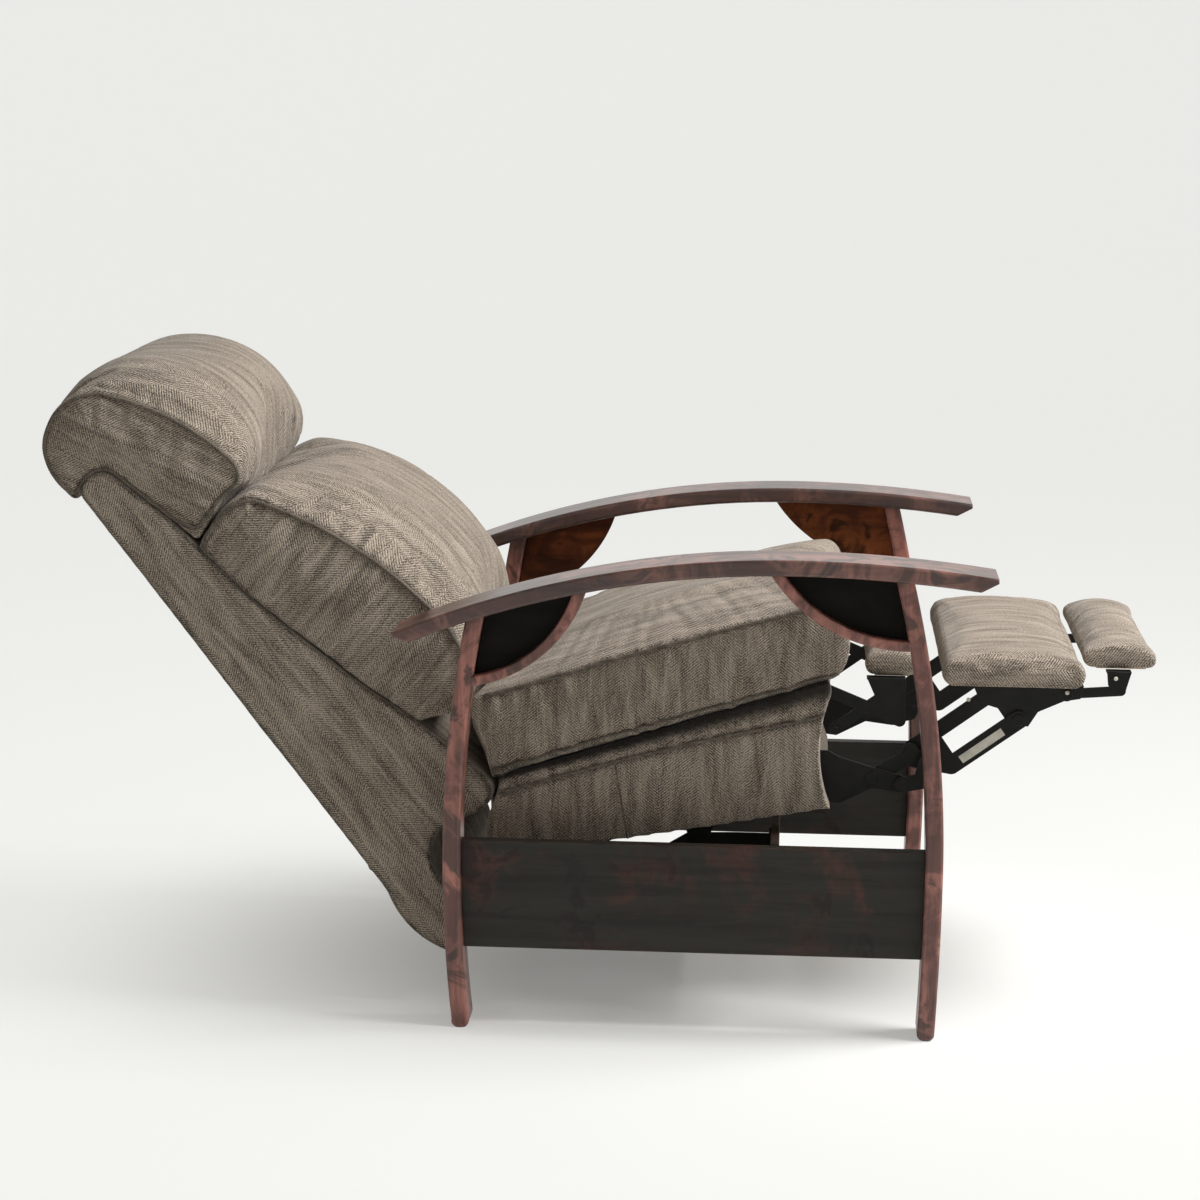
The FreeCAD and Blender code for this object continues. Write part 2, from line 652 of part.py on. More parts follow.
def head_profile(crown):
    lift = HEAD_CROWN * crown
    fore = (0.45 * lift, 0.7 * lift)
    gap = SOFT_GAP
    rear = 6.0 * crown
    start = (-865.5, 713.5)
    return start, [
        ((-910.0 - rear, 766.0), (-884.0 - rear, 838.0)),
        ((-866.0 - rear * 0.6, 850.0 + lift * 0.2), (-838.0, 857.0 + lift * 0.4)),
        ((-740.0 + fore[0], 826.0 + fore[1]), (-654.0 + fore[0] * 0.7, 770.0 + fore[1] * 0.55)),
        ((-639.0 + fore[0] * 0.65, 746.0 + fore[1] * 0.3), (-658.0, 720.0)),
        (-701.0, 668.0), (-738.0, 685.0 + gap), (-792.0, 725.0 + gap), (-822.0, 748.0 + gap),
        ((-852.5, 738.5 + gap), start)]


def stile_sides():
    """Outer and inner distance of a stile: from the cover's inside to the steel bracket."""
    return BACK_HALF - BACK_WALL, layer(1)[0]


def right_stile():
    base = in_back(STILE_START, BACK_WALL)
    outer, inner = stile_sides()
    return slab(outer, inner, base,
                [in_back(STILE_END, BACK_WALL),
                 in_back(STILE_END, BACK_WALL + STILE_DEPTH),
                 in_back(STILE_START, BACK_WALL + STILE_DEPTH)])


def back_rail(up, height):
    half = layer(1)[0]
    deep = BACK_WALL + STILE_DEPTH
    return slab(half, -half, in_back(up, BACK_WALL),
                [in_back(up + height, BACK_WALL), in_back(up + height, deep), in_back(up, deep)])


def back_webbing():
    half = stile_sides()[0]
    deep = BACK_WALL + STILE_DEPTH
    straps = []
    for number in range(BACK_WEB_COUNT):
        up = STILE_START + 50 + number * BACK_WEB_PITCH
        straps.append(slab(half, -half, in_back(up, deep),
                           [in_back(up + BACK_WEB_WIDTH, deep),
                            in_back(up + BACK_WEB_WIDTH, deep + WEBBING_THICK),
                            in_back(up, deep + WEBBING_THICK)]))
    return Part.Compound(straps)


def back_bolt_places():
    deep = BACK_WALL + STILE_DEPTH / 2
    return in_back(STILE_START + 40, deep), in_back(STILE_START + 110, deep)


def right_back_bracket():
    outer, inner = layer(1)
    low, high = back_bolt_places()
    arm = strap(outer, inner, [high, low, BRACKET_KNEE, BACK_PIVOT], BRACKET_WIDTH)
    arm = pierced(arm, outer, inner, BACK_PIVOT, PIN_R + RUNNING_FIT)
    return arm


def back_bolts():
    outer, inner = layer(1)
    bolts = []
    for place in back_bolt_places():
        shank = rod(sum(stile_sides()) / 2, inner, place, BOLT_R)
        bolts.append(shank.fuse(rod(inner, inner - BOLT_R, place, BOLT_HEAD_R)))
    return bolts


def back():
    bolts = back_bolts()
    stile = right_stile()
    bracket = right_back_bracket()
    for bolt in bolts:
        stile = stile.cut(bolt)
        bracket = bracket.cut(bolt)
    bolts += [mirrored(bolt) for bolt in bolts]
    low_rail = back_rail(STILE_START + 130, 60.0)
    top_rail = back_rail(STILE_END - 60, 60.0)
    reach = (HEAD_S - 20, CUSHION_CORNER[0])
    return {"right_back_stile": stile,
            "left_back_stile": mirrored(stile),
            "right_back_bracket": bracket,
            "left_back_bracket": mirrored(bracket),
            "back_bolts": Part.Compound(bolts),
            "lower_back_rail": low_rail,
            "top_back_rail": top_rail,
            "back_webbing": back_webbing(),
            "back_cover": back_cover(),
            "back_cushion": crowned(BACK_HALF, back_profile, (-720.0, FRONT_FOOT_S)),
            "head_cushion": crowned(BACK_HALF, head_profile, reach)}


# Footrest linkage

def stud(x_outer, x_inner, pivot, outer_head, inner_head):
    """Riveted stud from one layer into the next, with its two heads."""
    return pin(pivot, x_outer, x_inner, outer_head, inner_head)


def right_rear_link():
    outer, inner = layer(1)
    long_inner = layer(2)[1]
    link = strap(outer, inner, [REAR_LINK_PIVOT, LONG_LINK_PIVOT, UPPER_LINK_EYE], LINK_WIDTH)
    link = link.fuse(stud(outer, long_inner, LONG_LINK_PIVOT, THIN_HEAD, THIN_HEAD))
    return pierced(link, outer, inner, REAR_LINK_PIVOT, PIN_R + RUNNING_FIT)


def right_front_link():
    inner = SEAT_PLATE_OUTER + FRONT_LINK_STANDOFF
    outer = inner + PLATE
    link = strap(outer, inner, [FRONT_LINK_PIVOT, FRONT_LINK_KNEE, FRONT_LINK_EYE], LINK_WIDTH)
    return pierced(link, outer, inner, FRONT_LINK_PIVOT, PIN_R + RUNNING_FIT)


def right_long_link():
    outer, inner = layer(2)
    link = strap(outer, inner, [BRACKET_PIVOT, LONG_LINK_KNEE, LONG_LINK_PIVOT], 26.0)
    link = link.fuse(strap(outer, inner, [LONG_LINK_KNEE, LONG_LINK_HORN], LINK_WIDTH))
    link = link.removeSplitter()
    link = pierced(link, outer, inner, BRACKET_PIVOT, PIN_R)
    return pierced(link, outer, inner, LONG_LINK_PIVOT, PIN_R + RUNNING_FIT)


def right_upper_link():
    outer, inner = layer(4)
    link = strap(outer, inner, [UPPER_LINK_EYE, UPPER_LINK_PIVOT], LINK_WIDTH)
    return pierced(link, outer, inner, UPPER_LINK_PIVOT, PIN_R + RUNNING_FIT)


def flange(plate_inner, span, bottom):
    """Bent top edge of a bracket, under its board."""
    return block(-plate_inner, -plate_inner + FLANGE_WIDTH, span[0], span[1],
                 bottom - PLATE, bottom)


def right_footrest_bracket():
    outer, inner = layer(3)
    top = PAD_BOTTOM
    plate = slab(outer, inner, (376.0, top),
                 [(388.0, 441.0), (412.0, 434.0), (429.0, 410.0), (455.0, 409.0), (468.0, 430.0),
                  (503.0, 446.0), (526.0, 450.0), (530.0, top)])
    for pivot, radius in ((BRACKET_PIVOT, 14.0), (UPPER_LINK_PIVOT, 11.0), (FLIPPER_PIVOT, 9.0)):
        plate = plate.fuse(rod(outer, inner, pivot, radius))
    plate = plate.fuse(flange(inner, (376.0, 530.0), top))
    plate = plate.fuse(stud(outer, layer(4)[1], UPPER_LINK_PIVOT, THIN_HEAD, THIN_HEAD))
    plate = plate.fuse(stud(outer, layer(5)[1], FLIPPER_PIVOT, THIN_HEAD, THIN_HEAD))
    return pierced(plate.removeSplitter(), outer, inner, BRACKET_PIVOT, PIN_R + RUNNING_FIT)


def right_flipper_bracket():
    outer, inner = layer(5)
    top = FLIPPER_BOTTOM
    tail = (FLIPPER_SPAN[1] - 46.0, FLIPPER_PIVOT[1] + 12)
    link = strap(outer, inner, [FLIPPER_PIVOT, shifted(tail, -6, -6)], 14.0)
    wing = slab(outer, inner, shifted(tail, -24, 2),
                [shifted(tail, -26, top - tail[1]), shifted(tail, 8, top - tail[1]),
                 shifted(tail, 0, -8), shifted(tail, -16, -10)])
    link = link.fuse(wing).fuse(flange(inner, (tail[0] - 26, tail[0] + 8), top))
    return pierced(link.removeSplitter(), outer, inner, FLIPPER_PIVOT, PIN_R + RUNNING_FIT)


def right_bridge_bracket():
    outer, inner = layer(6)
    top = BRIDGE_BOTTOM
    arm = strap(outer, inner, [BRIDGE_PIVOT, BRIDGE_KNEE], 17.0)
    plate = slab(outer, inner, (230.0, top), [(284.0, top), shifted(BRIDGE_KNEE, 8, 0),
                                              shifted(BRIDGE_KNEE, -10, 0), (248.0, 430.0)])
    tail = strap(outer, inner, [(186.0, 396.0), (252.0, 444.0)], 15.0)
    link = arm.fuse(plate).fuse(tail).fuse(flange(inner, (230.0, 284.0), top))
    link = pierced(link.removeSplitter(), outer, inner, (190.0, 400.0), 2.5)
    return pierced(link, outer, inner, BRIDGE_PIVOT, PIN_R + RUNNING_FIT)


def right_long_link_rivet():
    outer = layer(2)[0]
    inner = layer(3)[1]
    return pin(BRACKET_PIVOT, outer, inner, HEAD_THICK, THIN_HEAD)


def pad_profile(span, bottom, tall, crown):
    """Side shape of a footrest pad: flat below, rounded ends, domed top."""
    first, last = span
    belly = bottom + tall * 0.5
    shoulder = bottom + tall - PAD_SHOULDER
    middle = (first + last) / 2
    start = (first + PAD_BULGE, bottom)
    return start, [(last - PAD_BULGE, bottom), ((last, belly), (last - PAD_BULGE, shoulder)),
                   ((middle, bottom + tall + crown), (first + PAD_BULGE, shoulder)),
                   ((first, belly), start)]


def soft_pad(half, span, bottom, thick):
    """Pad lofted across the chair, lower and shorter at its two rounded side edges."""
    wires = []
    for side, edge, crown in PAD_STATIONS:
        inset = PAD_EDGE * 0.5 * edge
        tall = thick - PAD_EDGE * 0.7 * edge
        start, steps = pad_profile((span[0] + inset, span[1] - inset), bottom, tall,
                                   PAD_CROWN * crown)
        wires.append(outline(half * side, start, steps))
    loft = Part.makeLoft(wires, True, False)
    plan = bowed_plan(half, span[0] - PAD_EDGE, span[1] + PAD_EDGE, PAD_DRAW_IN)
    return largest(loft.common(plan))


def board(half, span, bottom):
    return block(BOARD_INSET - half, half - BOARD_INSET, span[0] + BOARD_INSET,
                 span[1] - BOARD_INSET, bottom, bottom + BOARD_THICK)


def pad_and_board(half, span, bottom, thick):
    wood = board(half, span, bottom)
    return largest(soft_pad(half, span, bottom, thick).cut(wood)), wood


def footrest():
    nodes = {}
    for name, shape in (("rear_link", right_rear_link()), ("long_link", right_long_link()),
                        ("footrest_bracket", right_footrest_bracket())):
        nodes["right_" + name] = shape
        nodes["left_" + name] = mirrored(shape)
    for name, shape in (("front_links", right_front_link()), ("upper_links", right_upper_link()),
                        ("long_link_rivets", right_long_link_rivet()),
                        ("flipper_brackets", right_flipper_bracket()),
                        ("bridge_brackets", right_bridge_bracket())):
        nodes[name] = Part.Compound([shape, mirrored(shape)])
    for name, size in (("footrest", (PAD_HALF, PAD_SPAN, PAD_BOTTOM, PAD_THICK)),
                       ("flipper", (FLIPPER_HALF, FLIPPER_SPAN, FLIPPER_BOTTOM, FLIPPER_THICK)),
                       ("bridge", (BRIDGE_HALF, BRIDGE_SPAN, BRIDGE_BOTTOM, BRIDGE_THICK))):
        soft, wood = pad_and_board(*size)
        nodes[name + "_pad"] = soft
        nodes[name + "_board"] = wood
    return nodes


def main():
    os.makedirs("parts", exist_ok=True)
    nodes = {}
    nodes.update(wooden_frame())
    nodes.update(seat())
    nodes.update(back())
    nodes.update(footrest())
    for name, shape in nodes.items():
        shape.exportStep("parts/" + name + ".step")
    box = Part.Compound(list(nodes.values())).BoundBox
    print(len(nodes), "nodes; box", [round(v, 1) for v in (box.XMin, box.XMax, box.YMin,
                                                          box.YMax, box.ZMin, box.ZMax)])
    for name, shape in nodes.items():
        if not shape.isValid() or shape.Volume <= 0:
            print("check", name, shape.isValid(), shape.Volume)


main()
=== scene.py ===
# %% [markdown]
# Barrel recliner, laid back with its footrest out.
#
# The hard parts of the chair (bow arms, bow legs, rails, steel links) come from the CAD model as
# they are. This lesson dresses them: it gives every hard part a material, and rebuilds every soft
# part as cloth over filling, because a CAD solid is too crisp for a cushion.

# %% Load the CAD model as a fixed frame
import bmesh
import bpy
import math
import numpy as np
from mathutils import Matrix, Vector, noise
from mathutils.bvhtree import BVHTree


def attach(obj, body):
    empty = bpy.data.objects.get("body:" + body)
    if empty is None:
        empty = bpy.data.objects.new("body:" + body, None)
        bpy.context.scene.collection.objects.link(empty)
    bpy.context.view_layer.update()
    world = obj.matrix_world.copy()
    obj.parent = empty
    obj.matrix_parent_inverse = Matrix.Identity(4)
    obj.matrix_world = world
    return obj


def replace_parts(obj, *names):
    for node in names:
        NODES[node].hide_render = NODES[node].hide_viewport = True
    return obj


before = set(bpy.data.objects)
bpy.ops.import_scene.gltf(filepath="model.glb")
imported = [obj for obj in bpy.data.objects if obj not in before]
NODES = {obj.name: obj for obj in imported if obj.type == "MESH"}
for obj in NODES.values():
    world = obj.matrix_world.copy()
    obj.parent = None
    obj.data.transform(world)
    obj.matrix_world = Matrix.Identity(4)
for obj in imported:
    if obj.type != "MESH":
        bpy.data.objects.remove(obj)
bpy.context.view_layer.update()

# %% [markdown]
# Side shapes are easiest to read in the plane that the photograph looks at. So every point is
# written as (s, z): s runs from the head end to the toe end, z is the height, in metres. The chair
# faces -Y, so Y is a fixed middle minus s. The sitter's right side is at negative X.

# %% The side plane and its helpers
MIDDLE_S = -0.143


def at(x, point):
    """A side-shape point at a distance x across the chair."""
    return Vector((x, MIDDLE_S - point[0], point[1]))


def arc(a, b, c, steps=10):
    """Points from a to c on the circle through a, b and c, without a itself."""
    ax, ay = a
    bx, by = b[0] - ax, b[1] - ay
    cx, cy = c[0] - ax, c[1] - ay
    area = 2 * (bx * cy - by * cx)
    ux = (cy * (bx * bx + by * by) - by * (cx * cx + cy * cy)) / area
    uy = (bx * (cx * cx + cy * cy) - cx * (bx * bx + by * by)) / area
    radius = math.hypot(ux, uy)
    start = math.atan2(-uy, -ux)
    middle = math.atan2(by - uy, bx - ux)
    end = math.atan2(cy - uy, cx - ux)
    turn = (end - start) % math.tau
    if (middle - start) % math.tau > turn:
        turn -= math.tau
    return [(ax + ux + radius * math.cos(start + turn * k / steps),
             ay + uy + radius * math.sin(start + turn * k / steps)) for k in range(1, steps + 1)]


def outline(start, *steps):
    """Side shape from points, and from (middle, end) pairs for arcs."""
    points = [start]
    for step in steps:
        if isinstance(step[0], tuple):
            points += arc(points[-1], step[0], step[1])
        else:
            points.append(step)
    return points


print("the side plane has s = 0 at y =", MIDDLE_S)

# %% [markdown]
# The camera stands well to the sitter's right, a little above the arms, with a long lens. Its place
# was worked out from the legs, arms and rails, whose real shapes are known. It is made from three
# turns: yaw, pitch and a slight roll.

# %% Camera
CAMERA_PLACE = (-4.7405, 0.1185, 1.3625)
CAMERA_YAW, CAMERA_PITCH, CAMERA_ROLL = (math.radians(a) for a in (-3.325, 9.876, 0.795))
SENSOR = 36.0
FOCAL_SHARE = 3300 / 1200

across, toward_toe, upward = Vector((1, 0, 0)), Vector((0, -1, 0)), Vector((0, 0, 1))
level_look = across * math.cos(CAMERA_YAW) + toward_toe * math.sin(CAMERA_YAW)
level_right = toward_toe * math.cos(CAMERA_YAW) - across * math.sin(CAMERA_YAW)
look = level_look * math.cos(CAMERA_PITCH) - upward * math.sin(CAMERA_PITCH)
up = level_look * math.sin(CAMERA_PITCH) + upward * math.cos(CAMERA_PITCH)
right = level_right * math.cos(CAMERA_ROLL) + up * math.sin(CAMERA_ROLL)
up = up * math.cos(CAMERA_ROLL) - level_right * math.sin(CAMERA_ROLL)

camera_data = bpy.data.cameras.new("camera")
camera_data.sensor_width = SENSOR
camera_data.lens = SENSOR * FOCAL_SHARE
camera = bpy.data.objects.new("camera", camera_data)
bpy.context.scene.collection.objects.link(camera)
turn = Matrix((right, up, -look)).transposed().to_4x4()
camera.matrix_world = Matrix.Translation(at(CAMERA_PLACE[0], CAMERA_PLACE[1:])) @ turn
bpy.context.scene.camera = camera
print("camera at", [round(v, 3) for v in camera.matrix_world.translation])

# %% [markdown]
# Materials could be wired by hand in the shader editor. Written as code, the same few steps come
# back all the time: add a node, feed its inputs, do sums on values. These helpers do them.

# %% Shader helpers
def new_material(name):
    """A material, its node tree and its Principled shader."""
    material = bpy.data.materials.new(name)
    material.use_nodes = True
    tree = material.node_tree
    return material, tree, tree.nodes["Principled BSDF"]


def give(tree, socket, value):
    """Link another node's output to a socket, or set a plain value on it."""
    if isinstance(value, bpy.types.NodeSocket):
        tree.links.new(value, socket)
    else:
        socket.default_value = value


def feed(tree, node, **values):
    """Give a node's inputs their values by name."""
    for key, value in values.items():
        give(tree, node.inputs[key.replace("_", " ")], value)


def add_node(tree, kind, **values):
    """Add a shader node. Each value sets a property of the node, or else feeds an input."""
    node = tree.nodes.new("ShaderNode" + kind)
    for key, value in values.items():
        if hasattr(node, key):
            setattr(node, key, value)
        else:
            feed(tree, node, **{key: value})
    return node


def object_place(tree):
    return add_node(tree, "TexCoord").outputs["Object"]


def calculate(tree, operation, *values):
    """A Math node on values or sockets. It gives its output socket."""
    node = add_node(tree, "Math", operation=operation)
    for socket, value in zip(node.inputs, values):
        give(tree, socket, value)
    return node.outputs[0]


print("shader helpers are ready")

# %% [markdown]
# The studio is a pale sweep, as in a photographer's room. The camera and reflections see it nearly
# white, whatever light it throws back. Close to the chair most of that glow is left out, so the
# floor keeps its shadow.

# %% Studio sweep
FLOOR_COLOUR = (0.80, 0.80, 0.78)
BACKDROP_GLOW = (0.93, 0.93, 0.905)
SWEEP_RINGS = ((3.0, 0), (5.5, 0), (6.3, 0.12), (7.0, 0.6), (7.3, 1.5), (7.4, 6.0))
SWEEP_SIDES = 64


def backdrop_material():
    material, tree, shader = new_material("studio_sweep")
    feed(tree, shader, Base_Color=(*FLOOR_COLOUR, 1), Roughness=0.9)
    glow = add_node(tree, "Emission", Color=(*BACKDROP_GLOW, 1))
    path = add_node(tree, "LightPath").outputs
    seen = calculate(tree, "MAXIMUM", path["Is Camera Ray"], path["Is Glossy Ray"])
    length = add_node(tree, "VectorMath", operation="LENGTH")
    tree.links.new(object_place(tree), length.inputs[0])
    far = add_node(tree, "MapRange", interpolation_type="SMOOTHSTEP", From_Min=0.2,
                   From_Max=1.05, To_Min=0.2, To_Max=0.8, Value=length.outputs["Value"])
    mix = add_node(tree, "MixShader", Fac=calculate(tree, "MULTIPLY", seen, far.outputs["Result"]))
    tree.links.new(shader.outputs[0], mix.inputs[1])
    tree.links.new(glow.outputs[0], mix.inputs[2])
    feed(tree, tree.nodes["Material Output"], Surface=mix.outputs[0])
    return material


def link_mesh(name, bm):
    mesh = bpy.data.meshes.new(name)
    bm.to_mesh(mesh)
    bm.free()
    piece = bpy.data.objects.new(name, mesh)
    bpy.context.scene.collection.objects.link(piece)
    return piece


def studio_sweep():
    """Floor that curves up into a wall, far behind the chair on every side."""
    bm = bmesh.new()
    turns = [math.tau * k / SWEEP_SIDES for k in range(SWEEP_SIDES)]
    middle = bm.verts.new((0, 0, 0))
    rings = [[bm.verts.new((radius * math.cos(turn), radius * math.sin(turn), height))
              for turn in turns] for radius, height in SWEEP_RINGS]
    for k in range(SWEEP_SIDES):
        after = (k + 1) % SWEEP_SIDES
        bm.faces.new((middle, rings[0][k], rings[0][after]))
        for inner, outer in zip(rings, rings[1:]):
            bm.faces.new((inner[k], outer[k], outer[after], inner[after]))
    for face in bm.faces:
        face.smooth = True
    sweep = link_mesh("studio_sweep", bm)
    sweep.data.materials.append(backdrop_material())
    sweep.location.y = -0.09


studio_sweep()
print("sweep of", len(SWEEP_RINGS), "rings")

# %% [markdown]
# One broad soft lamp hangs over the foot end, and a grey sky fills the shadows. A single lamp gives
# the one soft shadow under the chair that the photograph has.

# %% Lamp and sky
SKY_COLOUR = (0.97, 0.95, 0.90)
SKY_STRENGTH = 0.34


def soft_lamp(name, place, target, size, power):
    data = bpy.data.lights.new(name, "AREA")
    data.shape = "DISK"
    data.size = size
    data.energy = power
    lamp = bpy.data.objects.new(name, data)
    lamp.location = place
    lamp.rotation_euler = (Vector(target) - Vector(place)).to_track_quat("-Z", "Y").to_euler()
    lamp.visible_camera = False
    bpy.context.scene.collection.objects.link(lamp)


soft_lamp("overhead_lamp", (-0.2, -2.3, 3.1), (0, 0, 0.4), 2.0, 188)
world = bpy.data.worlds.new("studio_sky")
bpy.context.scene.world = world
world.use_nodes = True
feed(world.node_tree, world.node_tree.nodes["Background"], Color=(*SKY_COLOUR, 1),
     Strength=SKY_STRENGTH)
bpy.context.scene.view_settings.view_transform = "Standard"
print("one lamp and a sky of strength", SKY_STRENGTH)

# %% [markdown]
# Several materials share the same effects, so each effect is a node group: a small box of nodes
# with named inputs and outputs. The first helper makes such a group and its sockets. A group only
# gives colours, masks and heights; the shader itself stays in the material.

# %% Node group helpers
def new_group(name, inputs, outputs):
    """A shader node group. inputs and outputs map a socket's name to its kind or default."""
    group = bpy.data.node_groups.new(name, "ShaderNodeTree")
    for label, value in inputs.items():
        kind = "NodeSocketFloat"
        if isinstance(value, tuple):
            kind = "NodeSocketColor" if len(value) == 4 else "NodeSocketVector"
        socket = group.interface.new_socket(label, in_out="INPUT", socket_type=kind)
        socket.default_value = value
    for label, kind in outputs.items():
        group.interface.new_socket(label, in_out="OUTPUT", socket_type=kind)
    entry = group.nodes.new("NodeGroupInput")
    leave = group.nodes.new("NodeGroupOutput")
    return group, entry, leave


def blend_colours(tree, factor, a, b):
    node = add_node(tree, "Mix", data_type="RGBA")
    for index, value in ((0, factor), (6, a), (7, b)):
        give(tree, node.inputs[index], value)
    return node.outputs[2]


def noise_value(tree, vector, scale, detail=2.0, roughness=0.5, distortion=0.0):
    return add_node(tree, "TexNoise", Vector=vector, Scale=scale, Detail=detail,
                    Roughness=roughness, Distortion=distortion).outputs["Fac"]


def stretched(tree, vector, scale):
    """The vector with each axis multiplied, which makes a pattern long one way."""
    node = add_node(tree, "VectorMath", operation="MULTIPLY")
    give(tree, node.inputs[0], vector)
    give(tree, node.inputs[1], scale)
    return node.outputs[0]


def ramp(tree, value, low, high):
    """Map low..high to 0..1 and clip outside it."""
    return add_node(tree, "MapRange", interpolation_type="SMOOTHSTEP", From_Min=low,
                    From_Max=high, Value=value).outputs["Result"]


def split(tree, vector):
    return add_node(tree, "SeparateXYZ", Vector=vector).outputs


print("helpers for node groups are ready")

# %% [markdown]
# The upholstery is a heathered tweed: fine slanted twill lines that turn about in wide bands, a
# salt-and-pepper of single threads, long pale slubs along the yarn and soft darker streaks. The
# group reads two numbers in metres, one along the yarn and one across it. They are stored on each
# piece's mesh when it is made, so the bands turn with the panel as cut cloth does, and need no
# unwrapping. A third number is painted shade. It darkens the cloth toward near-black in seam
# creases and in the gap where a rolled edge tucks under.

# %% Woven cloth group
def woven_cloth_group():
    group, entry, leave = new_group(
        "woven_cloth",
        {"Weave": (0.0, 0.0, 0.0), "Light Yarn": (0.5, 0.5, 0.5, 1),
         "Dark Yarn": (0.1, 0.1, 0.1, 1), "Band Width": 0.055, "Line Spacing": 0.0040,
         "Streaks": 0.72, "Crease": 0.6},
        {"Color": "NodeSocketColor", "Height": "NodeSocketFloat"})
    socket = entry.outputs
    place = socket["Weave"]
    # along and over place the weave; seam is the painted shade of creases and gaps.
    along, over, seam = split(group, place)
    band = calculate(group, "PINGPONG", over, socket["Band Width"])
    slant = calculate(group, "ADD", along, calculate(group, "MULTIPLY", band, 0.8))
    wobble = calculate(group, "MULTIPLY", noise_value(group, place, 120, 3), 0.0022)
    turns = calculate(group, "DIVIDE", calculate(group, "ADD", slant, wobble),
                      socket["Line Spacing"])
    line = calculate(group, "SINE", calculate(group, "MULTIPLY", turns, math.tau))
    thread = noise_value(group, stretched(group, place, (400, 640, 1)), 1.0, 2, 0.6)
    slub = noise_value(group, stretched(group, place, (14, 430, 1)), 1.0, 2, 0.5)
    streak = noise_value(group, stretched(group, place, (10, 58, 1)), 1.0, 4, 0.65, 0.4)
    dash = noise_value(group, stretched(group, place, (24, 210, 1)), 1.0, 3, 0.6)
    mixed = calculate(group, "MULTIPLY_ADD", line, 0.22,
                      calculate(group, "MULTIPLY_ADD", thread, 2.0, -0.57))
    mixed = calculate(group, "ADD", mixed,
                      calculate(group, "MULTIPLY", ramp(group, slub, 0.58, 0.72), 0.15))
    streaks = calculate(group, "ADD", calculate(group, "MULTIPLY_ADD", streak, 1.5, -0.75),
                        calculate(group, "MULTIPLY_ADD", dash, 0.5, -0.25))
    mixed = calculate(group, "ADD", mixed,
                      calculate(group, "MULTIPLY", streaks, socket["Streaks"]))
    colour = blend_colours(group, ramp(group, mixed, -0.05, 0.95), socket["Dark Yarn"],
                           socket["Light Yarn"])
    # Painted shade: the third number blends the cloth toward near-black in creases and gaps.
    colour = blend_colours(group, calculate(group, "MULTIPLY", seam, socket["Crease"]), colour,
                           (0.012, 0.010, 0.008, 1))
    feed(group, leave, Color=colour, Height=calculate(group, "MULTIPLY_ADD", line, 0.45, thread))
    return group


WOVEN_CLOTH = woven_cloth_group()
print("made", WOVEN_CLOTH.name, "with", len(WOVEN_CLOTH.nodes), "nodes")

# %% [markdown]
# Wood is a body colour with long grain, darker pores and cloudy stain. On this chair the stain was
# rubbed thin in places, so a cloud mask lets a redder, lighter brown show. The grain runs along
# whichever axis the material stretches it.

# %% Stained wood group
def stained_wood_group():
    group, entry, leave = new_group(
        "stained_wood",
        {"Place": (0.0, 0.0, 0.0), "Grain": (1.0, 1.0, 1.0), "Stain": (0.1, 0.05, 0.04, 1),
         "Worn": (0.3, 0.15, 0.1, 1), "Dark": (0.02, 0.015, 0.012, 1), "Worn Share": 0.5},
        {"Color": "NodeSocketColor", "Height": "NodeSocketFloat", "Shine": "NodeSocketFloat"})
    socket = entry.outputs
    grain_place = stretched(group, socket["Place"], socket["Grain"])
    streak = noise_value(group, grain_place, 3.0, 6, 0.62, 0.6)
    pore = noise_value(group, grain_place, 14.0, 3, 0.7)
    cloud = noise_value(group, socket["Place"], 5.5, 3, 0.55, 0.4)
    blotch = noise_value(group, socket["Place"], 15.0, 4, 0.6, 0.8)
    low = calculate(group, "SUBTRACT", 0.78,
                    calculate(group, "MULTIPLY", socket["Worn Share"], 0.5))
    clouds = calculate(group, "MULTIPLY_ADD", blotch, 0.5, calculate(group, "MULTIPLY", cloud, 0.5))
    worn = ramp(group, clouds, calculate(group, "SUBTRACT", low, 0.06),
                calculate(group, "ADD", low, 0.06))
    colour = blend_colours(group, worn, socket["Stain"], socket["Worn"])
    for value, low, high, share in ((streak, 0.42, 0.68, 0.6), (pore, 0.55, 0.75, 0.4),
                                    (blotch, 0.53, 0.64, 0.8)):
        dark = calculate(group, "MULTIPLY", ramp(group, value, low, high), share)
        colour = blend_colours(group, dark, colour, socket["Dark"])
    pores = calculate(group, "MULTIPLY", pore, -0.5)
    feed(group, leave, Color=colour, Height=calculate(group, "MULTIPLY_ADD", streak, 0.6, pores),
         Shine=streak)
    return group


STAINED_WOOD = stained_wood_group()
print("made", STAINED_WOOD.name, "with", len(STAINED_WOOD.nodes), "nodes")

# %% [markdown]
# Edge wear is where hands and shoes rub. Bending of the surface is found by comparing the true
# normal with one that is rounded over a few millimetres. Where the two differ, there is an edge.

# %% Edge wear group
def edge_wear_group():
    group, entry, leave = new_group(
        "edge_wear", {"Radius": 0.004, "Place": (0.0, 0.0, 0.0), "Amount": 1.0},
        {"Mask": "NodeSocketFloat", "Rounded": "NodeSocketVector"})
    bevel = add_node(group, "Bevel", samples=6, Radius=entry.outputs["Radius"])
    dot = add_node(group, "VectorMath", operation="DOT_PRODUCT")
    group.links.new(bevel.outputs[0], dot.inputs[0])
    group.links.new(add_node(group, "NewGeometry").outputs["Normal"], dot.inputs[1])
    bent = ramp(group, calculate(group, "SUBTRACT", 1.0, dot.outputs["Value"]), 0.01, 0.12)
    rub = ramp(group, noise_value(group, entry.outputs["Place"], 34, 3, 0.6), 0.35, 0.62)
    mask = calculate(group, "MULTIPLY", calculate(group, "MULTIPLY", bent, rub),
                     entry.outputs["Amount"])
    feed(group, leave, Mask=mask, Rounded=bevel.outputs[0])
    return group


EDGE_WEAR = edge_wear_group()
print("shared groups:", [group.name for group in bpy.data.node_groups])

